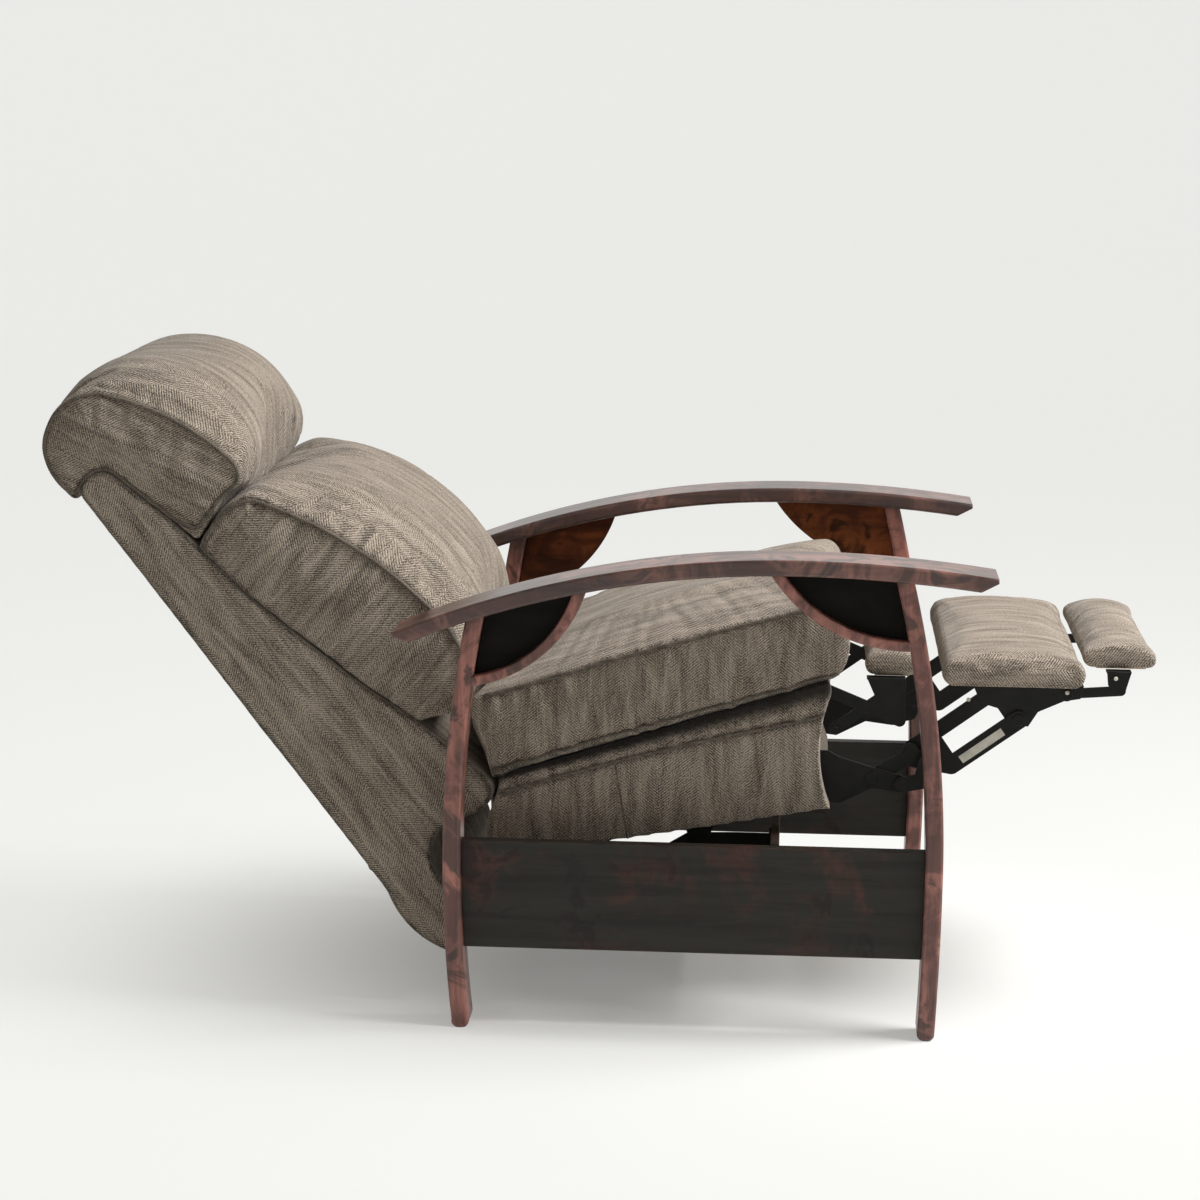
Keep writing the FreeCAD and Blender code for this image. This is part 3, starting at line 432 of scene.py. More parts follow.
# %% [markdown]
# Now the finishes, wood first. The arms and legs are the same reddish brown with dark clouds; the
# arms only look pale on top because a satin lacquer mirrors the white studio. The rails are nearly
# black with red showing through. The corbels were blacked on their outer face only, and show
# orange-brown grain on the face toward the sitter, so their material asks which way a face looks.

# %% Wood finishes
def use_group(tree, group, **values):
    """Place a group in a material. A value may be a plain value or another node's output."""
    return add_node(tree, "Group", node_tree=group, **values)


def add_bump(tree, shader, height, strength, distance, **normal):
    """Feed the shader a bumped normal. A rounded normal can be given to bump on."""
    bump = add_node(tree, "Bump", Height=height, Strength=strength, Distance=distance, **normal)
    feed(tree, shader, Normal=bump.outputs[0])


def wood_material(name, grain, stain, worn, dark, share, roughness, gloss, coat, rub, inner=None):
    material, tree, shader = new_material(name)
    place = object_place(tree)
    wood = use_group(tree, STAINED_WOOD, Place=place, Grain=grain, Stain=(*stain, 1),
                     Worn=(*worn, 1), Dark=(*dark, 1), Worn_Share=share)
    wear = use_group(tree, EDGE_WEAR, Radius=0.003, Place=place, Amount=0.8)
    colour = wood.outputs["Color"]
    if inner:
        bare = use_group(tree, STAINED_WOOD, Place=place, Grain=grain, Stain=(*inner[0], 1),
                         Worn=(*inner[1], 1), Dark=(*inner[2], 1), Worn_Share=0.6)
        facing = split(tree, add_node(tree, "NewGeometry").outputs["Normal"])[0]
        side = calculate(tree, "SIGN", split(tree, place)[0])
        inward = calculate(tree, "LESS_THAN", calculate(tree, "MULTIPLY", facing, side), -0.5)
        colour = blend_colours(tree, inward, colour, bare.outputs["Color"])
    colour = blend_colours(tree, wear.outputs["Mask"], colour, (*rub, 1))
    shine = calculate(tree, "MULTIPLY_ADD", wood.outputs["Shine"], 0.22, roughness)
    feed(tree, shader, Base_Color=colour, Roughness=shine, Specular_IOR_Level=gloss,
         Coat_Weight=coat, Coat_Roughness=0.24)
    add_bump(tree, shader, wood.outputs["Height"], 0.25, 0.0006, Normal=wear.outputs["Rounded"])
    return material


DARK_GRAIN = (0.012, 0.007, 0.006)
LENGTHWISE = (14.0, 1.0, 10.0)
UPRIGHT = (14.0, 14.0, 1.0)
ARM_WOOD = wood_material("arm_wood", LENGTHWISE, (0.068, 0.025, 0.018), (0.25, 0.105, 0.078),
                         DARK_GRAIN, 0.54, 0.30, 0.4, 0.6, (0.28, 0.14, 0.105))
LEG_WOOD = wood_material("frame_wood", UPRIGHT, (0.135, 0.051, 0.040), (0.42, 0.165, 0.127),
                         DARK_GRAIN, 0.58, 0.34, 0.4, 0.35, (0.32, 0.145, 0.115))
CORBEL_WOOD = wood_material("corbel_wood", LENGTHWISE, (0.007, 0.006, 0.004),
                            (0.035, 0.014, 0.009), (0.003, 0.003, 0.002), 0.1, 0.5, 0.12, 0.0,
                            (0.06, 0.03, 0.02),
                            ((0.10, 0.030, 0.013), (0.28, 0.082, 0.027), (0.012, 0.006, 0.004)))
RAIL_WOOD = wood_material("rail_wood", (10.0, 1.0, 16.0), (0.021, 0.018, 0.013),
                          (0.085, 0.027, 0.019), (0.006, 0.005, 0.004), 0.42, 0.46, 0.3, 0.06,
                          (0.11, 0.055, 0.04))
BARE_WOOD = wood_material("bare_wood", LENGTHWISE, (0.50, 0.35, 0.20), (0.60, 0.44, 0.27),
                          (0.30, 0.19, 0.10), 0.5, 0.6, 0.4, 0.0, (0.62, 0.47, 0.3))
print("wood finishes:", [m.name for m in bpy.data.materials if m.name.endswith("_wood")])

# %% [markdown]
# All covers share one cloth. It is rough, with a faint sheen from loose fibres, and its weave and
# its painted shade come from the mesh itself. The piping is the same cloth cut narrow, painted
# darker all over to stand in for the shade in the seam beside it.

# %% Cloth finishes
def cloth_material(name, light, dark, crease_shade):
    material, tree, shader = new_material(name)
    weave_and_shade = add_node(tree, "Attribute", attribute_name="weave_and_shade").outputs["Vector"]
    cloth = use_group(tree, WOVEN_CLOTH, Weave=weave_and_shade, Light_Yarn=(*light, 1),
                      Dark_Yarn=(*dark, 1), Crease=crease_shade)
    feed(tree, shader, Base_Color=cloth.outputs["Color"], Roughness=0.92,
         Specular_IOR_Level=0.25, Sheen_Weight=0.12, Sheen_Roughness=0.5)
    add_bump(tree, shader, cloth.outputs["Height"], 0.6, 0.0010)
    return material


# The last number is the strength of the painted crease shade. The piping gets darker yarn colours
# instead, as painted shade.
CLOTH = cloth_material("herringbone_cloth", (0.495, 0.417, 0.338), (0.048, 0.037, 0.027), 0.96)
PAINTED_SHADE_PIPING = cloth_material("piping_cloth_painted_shade", (0.24, 0.20, 0.158), (0.034, 0.027, 0.020), 0.0)
print("cloth finishes:", CLOTH.name, "and", PAINTED_SHADE_PIPING.name)

# %% [markdown]
# The links are black painted steel, rubbed bare at their edges. The straps are woven bands, and the
# label is old paper. A smudge pattern makes the steel and the label a little uneven, as handled
# things are.

# %% Steel, webbing and label
def steel_material():
    material, tree, shader = new_material("black_steel")
    place = object_place(tree)
    wear = use_group(tree, EDGE_WEAR, Radius=0.0012, Place=place, Amount=0.55)
    smudge = noise_value(tree, place, 22, 4, 0.6)
    base = blend_colours(tree, ramp(tree, smudge, 0.35, 0.7), (0.005, 0.005, 0.004, 1),
                         (0.012, 0.012, 0.010, 1))
    colour = blend_colours(tree, wear.outputs["Mask"], base, (0.10, 0.098, 0.092, 1))
    feed(tree, shader, Base_Color=colour, Specular_IOR_Level=0.2,
         Roughness=calculate(tree, "MULTIPLY_ADD", smudge, 0.3, 0.32))
    add_bump(tree, shader, noise_value(tree, place, 500, 2), 0.12, 0.0003,
             Normal=wear.outputs["Rounded"])
    return material


def webbing_material():
    material, tree, shader = new_material("woven_webbing")
    wave = add_node(tree, "TexWave", Vector=object_place(tree), Scale=160.0,
                    Distortion=0.6).outputs["Fac"]
    colour = blend_colours(tree, wave, (0.02, 0.02, 0.019, 1), (0.05, 0.048, 0.045, 1))
    feed(tree, shader, Base_Color=colour, Roughness=0.85)
    add_bump(tree, shader, wave, 0.5, 0.0008)
    return material


def label_material():
    material, tree, shader = new_material("blank_label")
    smudge = noise_value(tree, object_place(tree), 60, 4, 0.6)
    colour = blend_colours(tree, ramp(tree, smudge, 0.3, 0.75), (0.62, 0.60, 0.52, 1),
                           (0.44, 0.42, 0.36, 1))
    feed(tree, shader, Base_Color=colour,
         Roughness=calculate(tree, "MULTIPLY_ADD", smudge, 0.3, 0.35))
    add_bump(tree, shader, smudge, 0.2, 0.0003)
    return material


BLACK_STEEL = steel_material()
WEBBING = webbing_material()
LABEL = label_material()
print("finishes:", [material.name for material in bpy.data.materials if material.use_nodes])

# %% [markdown]
# Each CAD part keeps its shape and only changes its material slots. The lists below say which
# finish a name gets; the right and the left part share it.

# %% Dress the hard parts
FINISHES = (
    (ARM_WOOD, ("arm",)),
    (LEG_WOOD, ("front_leg", "rear_leg", "front_moulding", "rear_moulding", "rail_dowels")),
    (CORBEL_WOOD, ("front_corbel", "rear_corbel")),
    (RAIL_WOOD, ("side_rail", "front_stretcher", "rear_stretcher")),
    (BARE_WOOD, ("seat_board", "front_seat_board", "rear_seat_board", "back_stile",
                 "lower_back_rail", "top_back_rail", "footrest_board", "flipper_board",
                 "bridge_board")),
    (WEBBING, ("seat_webbing", "back_webbing")),
)


def dress(piece, material):
    piece.data.materials.clear()
    piece.data.materials.append(material)


for name, node in NODES.items():
    plain = name.removeprefix("right_").removeprefix("left_")
    dress(node, next((finish for finish, members in FINISHES if plain in members), BLACK_STEEL))
print("dressed", len(NODES), "CAD parts")

# %% [markdown]
# A soft part starts from the space that its CAD solid holds. It is remeshed into even small faces,
# drawn in a little, and swollen by air pressure in Blender's cloth simulation while its seam lines
# stay pinned. A cap keeps every point within a short way of where it started. So it swells between
# its seams as stuffed cloth does. The remesh loses seams, so the piping is added after it. This
# cell has the plain tools: copy a CAD part, apply a modifier, and read or move all points at once.

# %% Copies, modifiers and points
VOXEL = 0.006
SIDE_X = 0.285


def copy_of(node_name, piece_name):
    piece = bpy.data.objects.new(piece_name, NODES[node_name].data.copy())
    bpy.context.scene.collection.objects.link(piece)
    return piece


def apply_modifiers(piece):
    graph = bpy.context.evaluated_depsgraph_get()
    graph.update()
    mesh = bpy.data.meshes.new_from_object(piece.evaluated_get(graph))
    piece.modifiers.clear()
    old = piece.data
    piece.data = mesh
    bpy.data.meshes.remove(old)


def modify(piece, kind, **settings):
    """Add a modifier, set it and apply it."""
    modifier = piece.modifiers.new(kind.lower(), kind)
    for key, value in settings.items():
        setattr(modifier, key, value)
    apply_modifiers(piece)


def values_of(items, key, width=1, kind=np.float64):
    """One value or vector of every point, corner or face, as an array."""
    found = np.empty(len(items) * width, dtype=kind)
    items.foreach_get(key, found)
    return found.reshape(-1, width) if width > 1 else found


def points_of(piece, key="co"):
    return values_of(piece.data.vertices, key, 3)


def place_points(piece, points):
    piece.data.vertices.foreach_set("co", points.reshape(-1))
    piece.data.update()


def nearest_on_line(points, line):
    """Distance from each point to a line, and how far along the line its nearest place is."""
    best = np.full(len(points), 1e9)
    along = np.zeros(len(points))
    walked = 0.0
    for a, b in zip(line, line[1:]):
        run = b - a
        length = np.linalg.norm(run)
        if length < 1e-9:
            continue
        share = np.clip((points - a) @ run / length ** 2, 0, 1)
        away = np.linalg.norm(points - a - share[:, None] * run, axis=1)
        closer = away < best
        best[closer] = away[closer]
        along[closer] = walked + share[closer] * length
        walked += length
    return best, along


def nearest_seam(points, seams):
    """Distance to the nearest of several seams, and a place along them for seeding puckers."""
    best = np.full(len(points), 1e9)
    along = np.zeros(len(points))
    for number, seam in enumerate(seams):
        away, place = nearest_on_line(points, seam)
        closer = away < best
        best[closer] = away[closer]
        along[closer] = place[closer] + 3.7 * number
    return best, along


def in_side_plane(points):
    """The points as the side view sees them, (s, z)."""
    return np.stack([MIDDLE_S - points[:, 1], points[:, 2]], axis=1)


print(f"soft parts are remeshed at {1000 * VOXEL:.0f} mm")

# %% [markdown]
# Stuffing could be modelled by hand, but a short simulation gives fuller and less regular forms. A
# cloth with pressure inside and a little spare cloth pushes outward, and pinned seams hold it back.
# Sewing springs would be closer to a real cover, and much slower.

# %% Stuffing by air pressure
STUFFING = {"use_pressure": True, "uniform_pressure_force": 4.0, "quality": 4, "mass": 0.4,
            "tension_stiffness": 18, "compression_stiffness": 9, "shear_stiffness": 8,
            "bending_stiffness": 1.0}
FRAMES = 20
PIN_REACH = 0.012
DRAWN_IN = 0.002
DRAW_REACH = 0.06
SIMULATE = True


def draw_in(piece, seams):
    """Pull the surface in between the seams, to leave room for the swelling."""
    points = points_of(piece)
    away, _ = nearest_seam(points, seams)
    share = np.clip(away / DRAW_REACH, 0, 1)
    inward = DRAWN_IN * (share * share * (3 - 2 * share))
    place_points(piece, points - points_of(piece, "normal") * inward[:, None])


def inflate(piece, seams, rest_line, growth, cap):
    """Swell a remeshed piece with cloth pressure and a little spare cloth.
    Points near a seam, and points of the side that rests on something, stay where they are."""
    start = points_of(piece)
    away, _ = nearest_seam(start, seams)
    resting, _ = nearest_on_line(in_side_plane(start), np.array(rest_line))
    away = np.minimum(away, resting)
    pins = piece.vertex_groups.new(name="pins")
    for index in np.nonzero(away < PIN_REACH)[0]:
        pins.add([int(index)], float(1 - away[index] / PIN_REACH * 0.5), "REPLACE")
    modifier = piece.modifiers.new("stuffing", "CLOTH")
    settings = modifier.settings
    for key, value in STUFFING.items():
        setattr(settings, key, value)
    settings.shrink_min = -growth
    settings.effector_weights.gravity = 0
    settings.vertex_group_mass = "pins"
    modifier.point_cache.frame_start = 1
    modifier.point_cache.frame_end = FRAMES
    for number in range(1, FRAMES + 1):
        bpy.context.scene.frame_set(number)
    apply_modifiers(piece)
    bpy.context.scene.frame_set(1)
    moved = points_of(piece) - start
    length = np.linalg.norm(moved, axis=1)
    share = np.minimum(1, cap / np.maximum(length, 1e-9))
    place_points(piece, start + moved * share[:, None])
    piece.vertex_groups.clear()
    print(f"{piece.name}: swelled {1000 * length.mean():.1f} mm on average,"
          f" {1000 * length.max():.1f} mm at most before the cap of {1000 * cap:.0f} mm")


print("stuffing is simulated" if SIMULATE else "stuffing is skipped in a quick run")

# %% [markdown]
# A sewn cover never stays smooth. Its edges roll in, hands pull its corners, and the cloth gathers
# at right angles to every seam. These are plain moves of points, because the simulation is too
# coarse for them. The nearness to a seam and how far an edge has rolled in are kept for the shader,
# which paints shade there: a dark crease along each seam and a dark gap under a rolled edge.

# %% Rolled edges, pulls and puckers
SEAM_WIDTH = 0.0045
SEAM_DEPTH = 0.0018
SEAM_SHADE = 0.8
GATHER_SPACING = 0.021
GATHER_ON_TOP = 0.05
ROLL_WIDTH = 0.06


def roll_share(points, roll):
    """How far each point is rolled in, 0 to 1, toward a line that rounds off the side face. A roll
    is the line, the half width there, its reach at both ends, its depth and the share past which
    its cloth gets painted shade."""
    line, half, reaches = roll[:3]
    away, along = nearest_on_line(in_side_plane(points), np.array(line))
    near = np.clip(1 - away / np.interp(along, (0, along.max()), reaches), 0, 1)
    return near * np.clip((np.abs(points[:, 0]) - half + ROLL_WIDTH) / ROLL_WIDTH, 0, 1)


def round_off(piece, roll):
    """Roll the side face in toward a line of the side shape, as stuffed cloth rounds an edge."""
    points = points_of(piece)
    share = roll_share(points, roll)
    depth = (1 - np.sqrt(1 - share ** 2 * 0.999)) * roll[3]
    points[:, 0] -= np.sign(points[:, 0]) * depth
    place_points(piece, points)


def pull(piece, place, reach, move):
    """Shift the part of a soft piece that is near a place of the side shape."""
    points = points_of(piece)
    away = np.linalg.norm(in_side_plane(points) - np.array(place), axis=1)
    share = np.exp(-(away / reach) ** 2)
    place_points(piece, points + share[:, None] * np.array((0.0, -move[0], move[1])))


def pucker(piece, seams, depth, reach, seed, loose, rolls):
    """Gathers at right angles to the seams, deepest on side panels, the groove of the seam itself
    and a slack unevenness. It also stores painted shade for each point, from how near a seam or a
    rolled edge it is."""
    points, normals = points_of(piece), points_of(piece, "normal")
    away, along = nearest_seam(points, seams)
    sideways = np.clip(np.abs(normals[:, 0]) * 1.6 - 0.4, 0, 1)
    fade = np.exp(-away / reach) * (GATHER_ON_TOP + (1 - GATHER_ON_TOP) * sideways)
    crease_shade = np.exp(-(away / SEAM_WIDTH) ** 2)
    shift = -SEAM_DEPTH * crease_shade
    for index, point in enumerate(points):
        slack = noise.noise(Vector((point[0] * 6, point[1] * 7, point[2] * 7 + seed)))
        slack += 0.5 * noise.noise(Vector((point[0] * 17, point[1] * 15, point[2] * 15 - seed)))
        shift[index] += slack * loose
        if fade[index] > 0.05:
            place = along[index] / GATHER_SPACING
            gather = noise.noise(Vector((place, seed, away[index] * 6)))
            sharp = abs(noise.noise(Vector((place * 1.3, -seed, away[index] * 5)))) * 2 - 0.5
            shift[index] += depth * fade[index] * (gather + 0.5 * sharp)
    # Painted shade: the seam groove and the tucked-under part of each roll are darkened in colour.
    crease_shade *= SEAM_SHADE
    for roll in rolls:
        crease_shade = np.maximum(crease_shade, np.clip((roll_share(points, roll) - roll[4]) * 2.5, 0, 1))
    place_points(piece, points + normals * shift[:, None])
    layer = piece.data.attributes.new("painted_shade", "FLOAT", "POINT")
    layer.data.foreach_set("value", crease_shade.astype(np.float32))


print(f"gathers every {1000 * GATHER_SPACING:.0f} mm along a seam")

# %% [markdown]
# The cloth pattern needs to know how each panel was cut. A UV unwrap could say it, but its seams
# would have to be marked after the remesh. Two numbers in metres at each corner do the same and
# keep the weave at its true size.

# %% Panels of cloth
def weave_map(piece, profile, side_angle):
    """Store where each corner lies in its cloth panel, in metres: along the yarn and across it.
    Top, front and rear panels run along the side profile. Side panels are flat and turned. The
    third number is the painted shade that pucker stored."""
    mesh = piece.data
    points = points_of(piece)
    flat = in_side_plane(points)
    _, along = nearest_on_line(flat, np.array(profile))
    corners = values_of(mesh.loops, "vertex_index", kind=np.int64)
    counts = values_of(mesh.polygons, "loop_total", kind=np.int64)
    sideways = np.abs(values_of(mesh.polygons, "normal", 3)[:, 0])
    on_side = np.repeat(sideways > 0.6, counts)
    cos, sin = math.cos(side_angle), math.sin(side_angle)
    side_along = flat[:, 0] * cos + flat[:, 1] * sin
    side_over = flat[:, 1] * cos - flat[:, 0] * sin
    values = np.zeros((len(corners), 3))
    values[:, 0] = np.where(on_side, side_along[corners], along[corners])
    values[:, 1] = np.where(on_side, side_over[corners], points[corners, 0])
    painted_shade = mesh.attributes.get("painted_shade")
    if painted_shade:
        values[:, 2] = values_of(painted_shade.data, "value")[corners]
        mesh.attributes.remove(painted_shade)
    layer = mesh.attributes.new("weave_and_shade", "FLOAT_VECTOR", "CORNER")
    layer.data.foreach_set("vector", values.astype(np.float32).reshape(-1))


def finish_cloth(piece, body, node_name, profile, side_angle):
    weave_map(piece, profile, side_angle)
    dress(piece, CLOTH)
    piece.data.shade_smooth()
    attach(piece, body)
    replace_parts(piece, node_name)
    print(f"{piece.name}: {len(piece.data.vertices)} points, rides on {body}")


print("yarn runs along each panel")

# %% [markdown]
# Cords, straps, rivets and the label are all runs of rings with faces between them. A curve object
# could make the cords, but rings also make the other small parts, so one helper does for all.

# %% Small parts from rings
def skin(bm, rings, closed=False):
    """Join rings of points with faces. Unless the run is closed, both ends get a face too."""
    rings = [[bm.verts.new(point) for point in ring] for ring in rings]
    count = len(rings[0])
    for first, second in list(zip(rings, rings[1:])) + [(rings[-1], rings[0])] * closed:
        shift = min(range(count), key=lambda n: (second[n].co - first[0].co).length)
        for j in range(count):
            bm.faces.new((first[j], first[(j + 1) % count], second[(j + 1 + shift) % count],
                          second[(j + shift) % count]))
    if not closed:
        bm.faces.new(reversed(rings[0]))
        bm.faces.new(rings[-1])
    bmesh.ops.recalc_face_normals(bm, faces=bm.faces)


def small_part(name, bm, body, material):
    piece = link_mesh(name, bm)
    piece.data.materials.append(material)
    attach(piece, body)
    print(f"{name}: {len(piece.data.polygons)} faces, rides on {body}")
    return piece


print("rings make cords, straps, rivets and the label")

# %% [markdown]
# Piping is a cord sewn into a strip of the same cloth. It stands a little proud of the seam. Each
# run is a thin tube whose middle line is dropped onto the finished surface, so it follows every
# swelling and pucker of the cushion.

# %% Piping
TUBE_SIDES = 8
WELT_STEP = 0.006
WELT_LIFT = 0.0004


def tube_rings(path, radius, closed):
    turns = [math.tau * j / TUBE_SIDES for j in range(TUBE_SIDES)]
    rings = []
    for k, centre in enumerate(path):
        before = path[k - 1] if closed or k else centre
        after = path[(k + 1) % len(path)] if closed or k + 1 < len(path) else centre
        forward = (after - before).normalized()
        side = forward.cross(Vector((0, 0, 1)) if abs(forward.z) < 0.9 else Vector((1, 0, 0)))
        side.normalize()
        rise = side.cross(forward)
        rings.append([centre + (side * math.cos(turn) + rise * math.sin(turn)) * radius
                      for turn in turns])
    return rings


def spaced(points, gap, closed=False):
    """The same line with points an even gap apart."""
    line = list(points) + ([points[0]] if closed else [])
    lengths = [(b - a).length for a, b in zip(line, line[1:])]
    count = max(2, round(sum(lengths) / gap))
    found, k, walked = [], 0, 0.0
    for step in range(count if closed else count + 1):
        goal = sum(lengths) * step / count
        while k < len(lengths) - 1 and walked + lengths[k] < goal:
            walked += lengths[k]
            k += 1
        share = (goal - walked) / lengths[k] if lengths[k] else 0
        found.append(line[k].lerp(line[k + 1], max(0, min(1, share))))
    return found


def dropped(points, tree, closed=False):
    """The line's points moved onto a surface and evened out."""
    found = []
    for point in points:
        place, normal, _, _ = tree.find_nearest(point)
        found.append(place + normal * WELT_LIFT)
    for _ in range(3):
        inner = range(len(found)) if closed else range(1, len(found) - 1)
        found = [(found[k - 1] + found[k] * 2 + found[(k + 1) % len(found)]) / 4
                 if k in inner else found[k] for k in range(len(found))]
    return found


def welt(name, cushion, body, points, radius, closed=False):
    """Piping along a line of points, laid on the surface of a finished cushion."""
    tree = BVHTree.FromPolygons([v.co for v in cushion.data.vertices],
                                [p.vertices for p in cushion.data.polygons])
    path = dropped(spaced(points, WELT_STEP, closed), tree, closed)
    bm = bmesh.new()
    skin(bm, tube_rings(path, radius, closed), closed)
    # The piping's material is painted darker all over, as the shade of its seam.
    mesh = small_part(name, bm, body, PAINTED_SHADE_PIPING).data
    layer = mesh.attributes.new("weave_and_shade", "FLOAT_VECTOR", "CORNER")
    for loop in mesh.loops:
        place = mesh.vertices[loop.vertex_index].co
        layer.data[loop.index].vector = (place.y + place.z, place.x + place.z - place.y, 0)
    mesh.shade_smooth()


def welts(cushion, body, x, lines, closed=False):
    """The same piping on both sides. Each line is its name, its side shape and its radius."""
    for side, sign in (("right", -1), ("left", 1)):
        for name, line, radius in lines:
            welt(f"{side}_{name}", cushion, body, [at(sign * x, p) for p in line], radius, closed)


def side_seams(line, x, closed=True):
    """The same seam line at both ends of a cushion, as arrays of 3-D points."""
    run = [*line, line[0]] if closed else line
    return [np.array([at(side * x, point) for point in run]) for side in (-1, 1)]


print(f"piping has {TUBE_SIDES} sides and a step of {1000 * WELT_STEP:.0f} mm")

# %% [markdown]
# The head roll is a box cushion with a piped side panel at each end. It is the fullest part of the
# chair, and its cloth pulls straight along the panel. The outline is the one that its CAD solid has
# at its ends.

# %% Head cushion
def metres(*points):
    """Turn a side shape that is written in millimetres into metres, arcs and all."""
    return [tuple(tuple(v / 1000 for v in p) for p in point) if isinstance(point[0], tuple)
            else (point[0] / 1000, point[1] / 1000) for point in points]


HEAD_SIDE = outline(*metres(
    (-865.5, 713.5), ((-910, 766), (-884, 838)), ((-866, 850), (-838, 857)),
    ((-740, 826), (-654, 770)), ((-639, 746), (-658, 720)), (-701, 668), (-738, 685.5),
    (-792, 725.5), (-822, 748.5), ((-852.5, 739), (-865.5, 713.5))))
GATHER_REACH = 0.045


def stuffed(piece_name, node_name, seams, rest_line, growth, cap, depth, seed, loose=0.0012,
            rolls=(), pulls=()):
    """A remeshed and swollen cushion in the place of its CAD solid."""
    piece = copy_of(node_name, piece_name)
    modify(piece, "REMESH", mode="VOXEL", voxel_size=VOXEL)
    for roll in rolls:
        round_off(piece, roll)
    draw_in(piece, seams)
    if SIMULATE:
        inflate(piece, seams, rest_line, growth, cap)
    for move in pulls:
        pull(piece, *move)
    modify(piece, "SMOOTH", iterations=1, factor=0.4)
    modify(piece, "SUBSURF", levels=1, render_levels=1)
    pucker(piece, seams, depth, GATHER_REACH, seed, loose, rolls)
    return piece


HEAD_REST = metres((-701, 668), (-738, 685.5), (-792, 725.5), (-822, 748.5), (-852.5, 739),
                   (-865.5, 713.5))
head_seams = side_seams(HEAD_SIDE, SIDE_X)
head = stuffed("head_cushion_cover", "head_cushion", head_seams, HEAD_REST, 0.022, 0.024, 0.0035,
               1.3, pulls=(((-0.697, 0.672), 0.030, (0.002, -0.014)),
                           ((-0.868, 0.724), 0.022, (0.003, -0.010))))
finish_cloth(head, "back", "head_cushion", HEAD_SIDE, math.radians(-25))
welts(head, "back", SIDE_X, (("head_welt", HEAD_SIDE[:-1], 0.0030),), closed=True)

# %% [markdown]
# The lumbar cushion is softer. Its crown is high in the middle and its piped edge shows as a line
# from the head roll down to its front.

# %% Back cushion
BACK_SIDE = outline(*metres(
    (-392, 410.5), (-466, 456.5), (-562, 527.5), (-636, 587.5), (-690, 640.5),
    ((-668, 688), (-625, 714)), ((-497, 660), (-375, 567)), ((-332, 512), (-318, 464)),
    (-342, 443), (-392, 410.5)))
BACK_REST = [BACK_SIDE[-2], *BACK_SIDE[:5]]
lumbar_seams = side_seams(BACK_SIDE, SIDE_X)
lumbar = stuffed("back_cushion_cover", "back_cushion", lumbar_seams, BACK_REST, 0.014, 0.020,
                 0.0060, 4.1, 0.0018, pulls=(((-0.333, 0.455), 0.055, (0.004, -0.022)),
                                             ((-0.690, 0.640), 0.030, (-0.006, 0.003)),
                                             ((-0.650, 0.700), 0.050, (0.002, 0.007))))
finish_cloth(lumbar, "back", "back_cushion", BACK_SIDE, math.radians(52))
LUMBAR_EDGE = BACK_SIDE[4:36]
welts(lumbar, "back", SIDE_X, (("back_cushion_welt", LUMBAR_EDGE, 0.0030),))

# %% [markdown]
# The outside of the back is cloth pulled tight over a wooden frame with thin foam. It is a shell
# that is open below, where the two steel brackets come out. It gets no air pressure, only softened
# edges and the unevenness of hand-pulled cloth.

# %% Back cover
TIGHT_VOXEL = 0.0050
COVER_SIDE = outline(*metres(
    (-336, 75), ((-392, 104), (-434, 164)), (-861, 713.5), ((-852, 738), (-822, 748)),
    (-792, 725), (-738, 685), (-636, 587), (-562, 527), (-466, 456), (-392, 408), (-330, 360),
    ((-304, 336), (-289, 314)), ((-293, 294), (-306, 280)), (-350, 262), ((-373, 222), (-352, 178)),
    (-340, 150), (-336, 75)))


def upholstered(piece_name, node_name, seams, seed, rolls=(), pulls=()):
    """A tight cover: no air, softened edges and shallow gathers."""
    piece = copy_of(node_name, piece_name)
    modify(piece, "REMESH", mode="VOXEL", voxel_size=TIGHT_VOXEL)
    for roll in rolls:
        round_off(piece, roll)
    for move in pulls:
        pull(piece, *move)
    modify(piece, "SMOOTH", iterations=4, factor=0.5)
    pucker(piece, seams, 0.0045, 0.040, seed, 0.0010, rolls)
    return piece


cover_seams = side_seams(COVER_SIDE, SIDE_X)
cover = upholstered("back_cover_cloth", "back_cover", cover_seams, 8.2,
                    pulls=(((-0.291, 0.312), 0.03, (0.006, 0.005)),))
finish_cloth(cover, "back", "back_cover", COVER_SIDE, math.radians(-51.4))

# %% [markdown]
# The seat cushion is a thick slab of foam with a domed top. Its top edge is piped. Its lower seam
# runs in a shallow bow above the deck, and the cloth below the seam rolls under the cushion, which
# leaves a gap over the seat box. Painted shade darkens the rolled-under cloth in that gap.

# %% Seat cushion
SEAT_X = 0.283
SEAT_SIDE = outline(*metres(
    (-283, 331), (186, 481), ((205, 524), (166, 584)), ((-66, 518), (-298, 446)), (-304, 438),
    (-283, 331)))
SEAT_TOP_EDGE = SEAT_SIDE[11:22]
SEAT_LOW_EDGE = outline(*metres((-289, 340), ((-70, 410), (191, 486))))
seat_seams = side_seams(SEAT_TOP_EDGE, SEAT_X, False) + side_seams(SEAT_LOW_EDGE, SEAT_X, False)
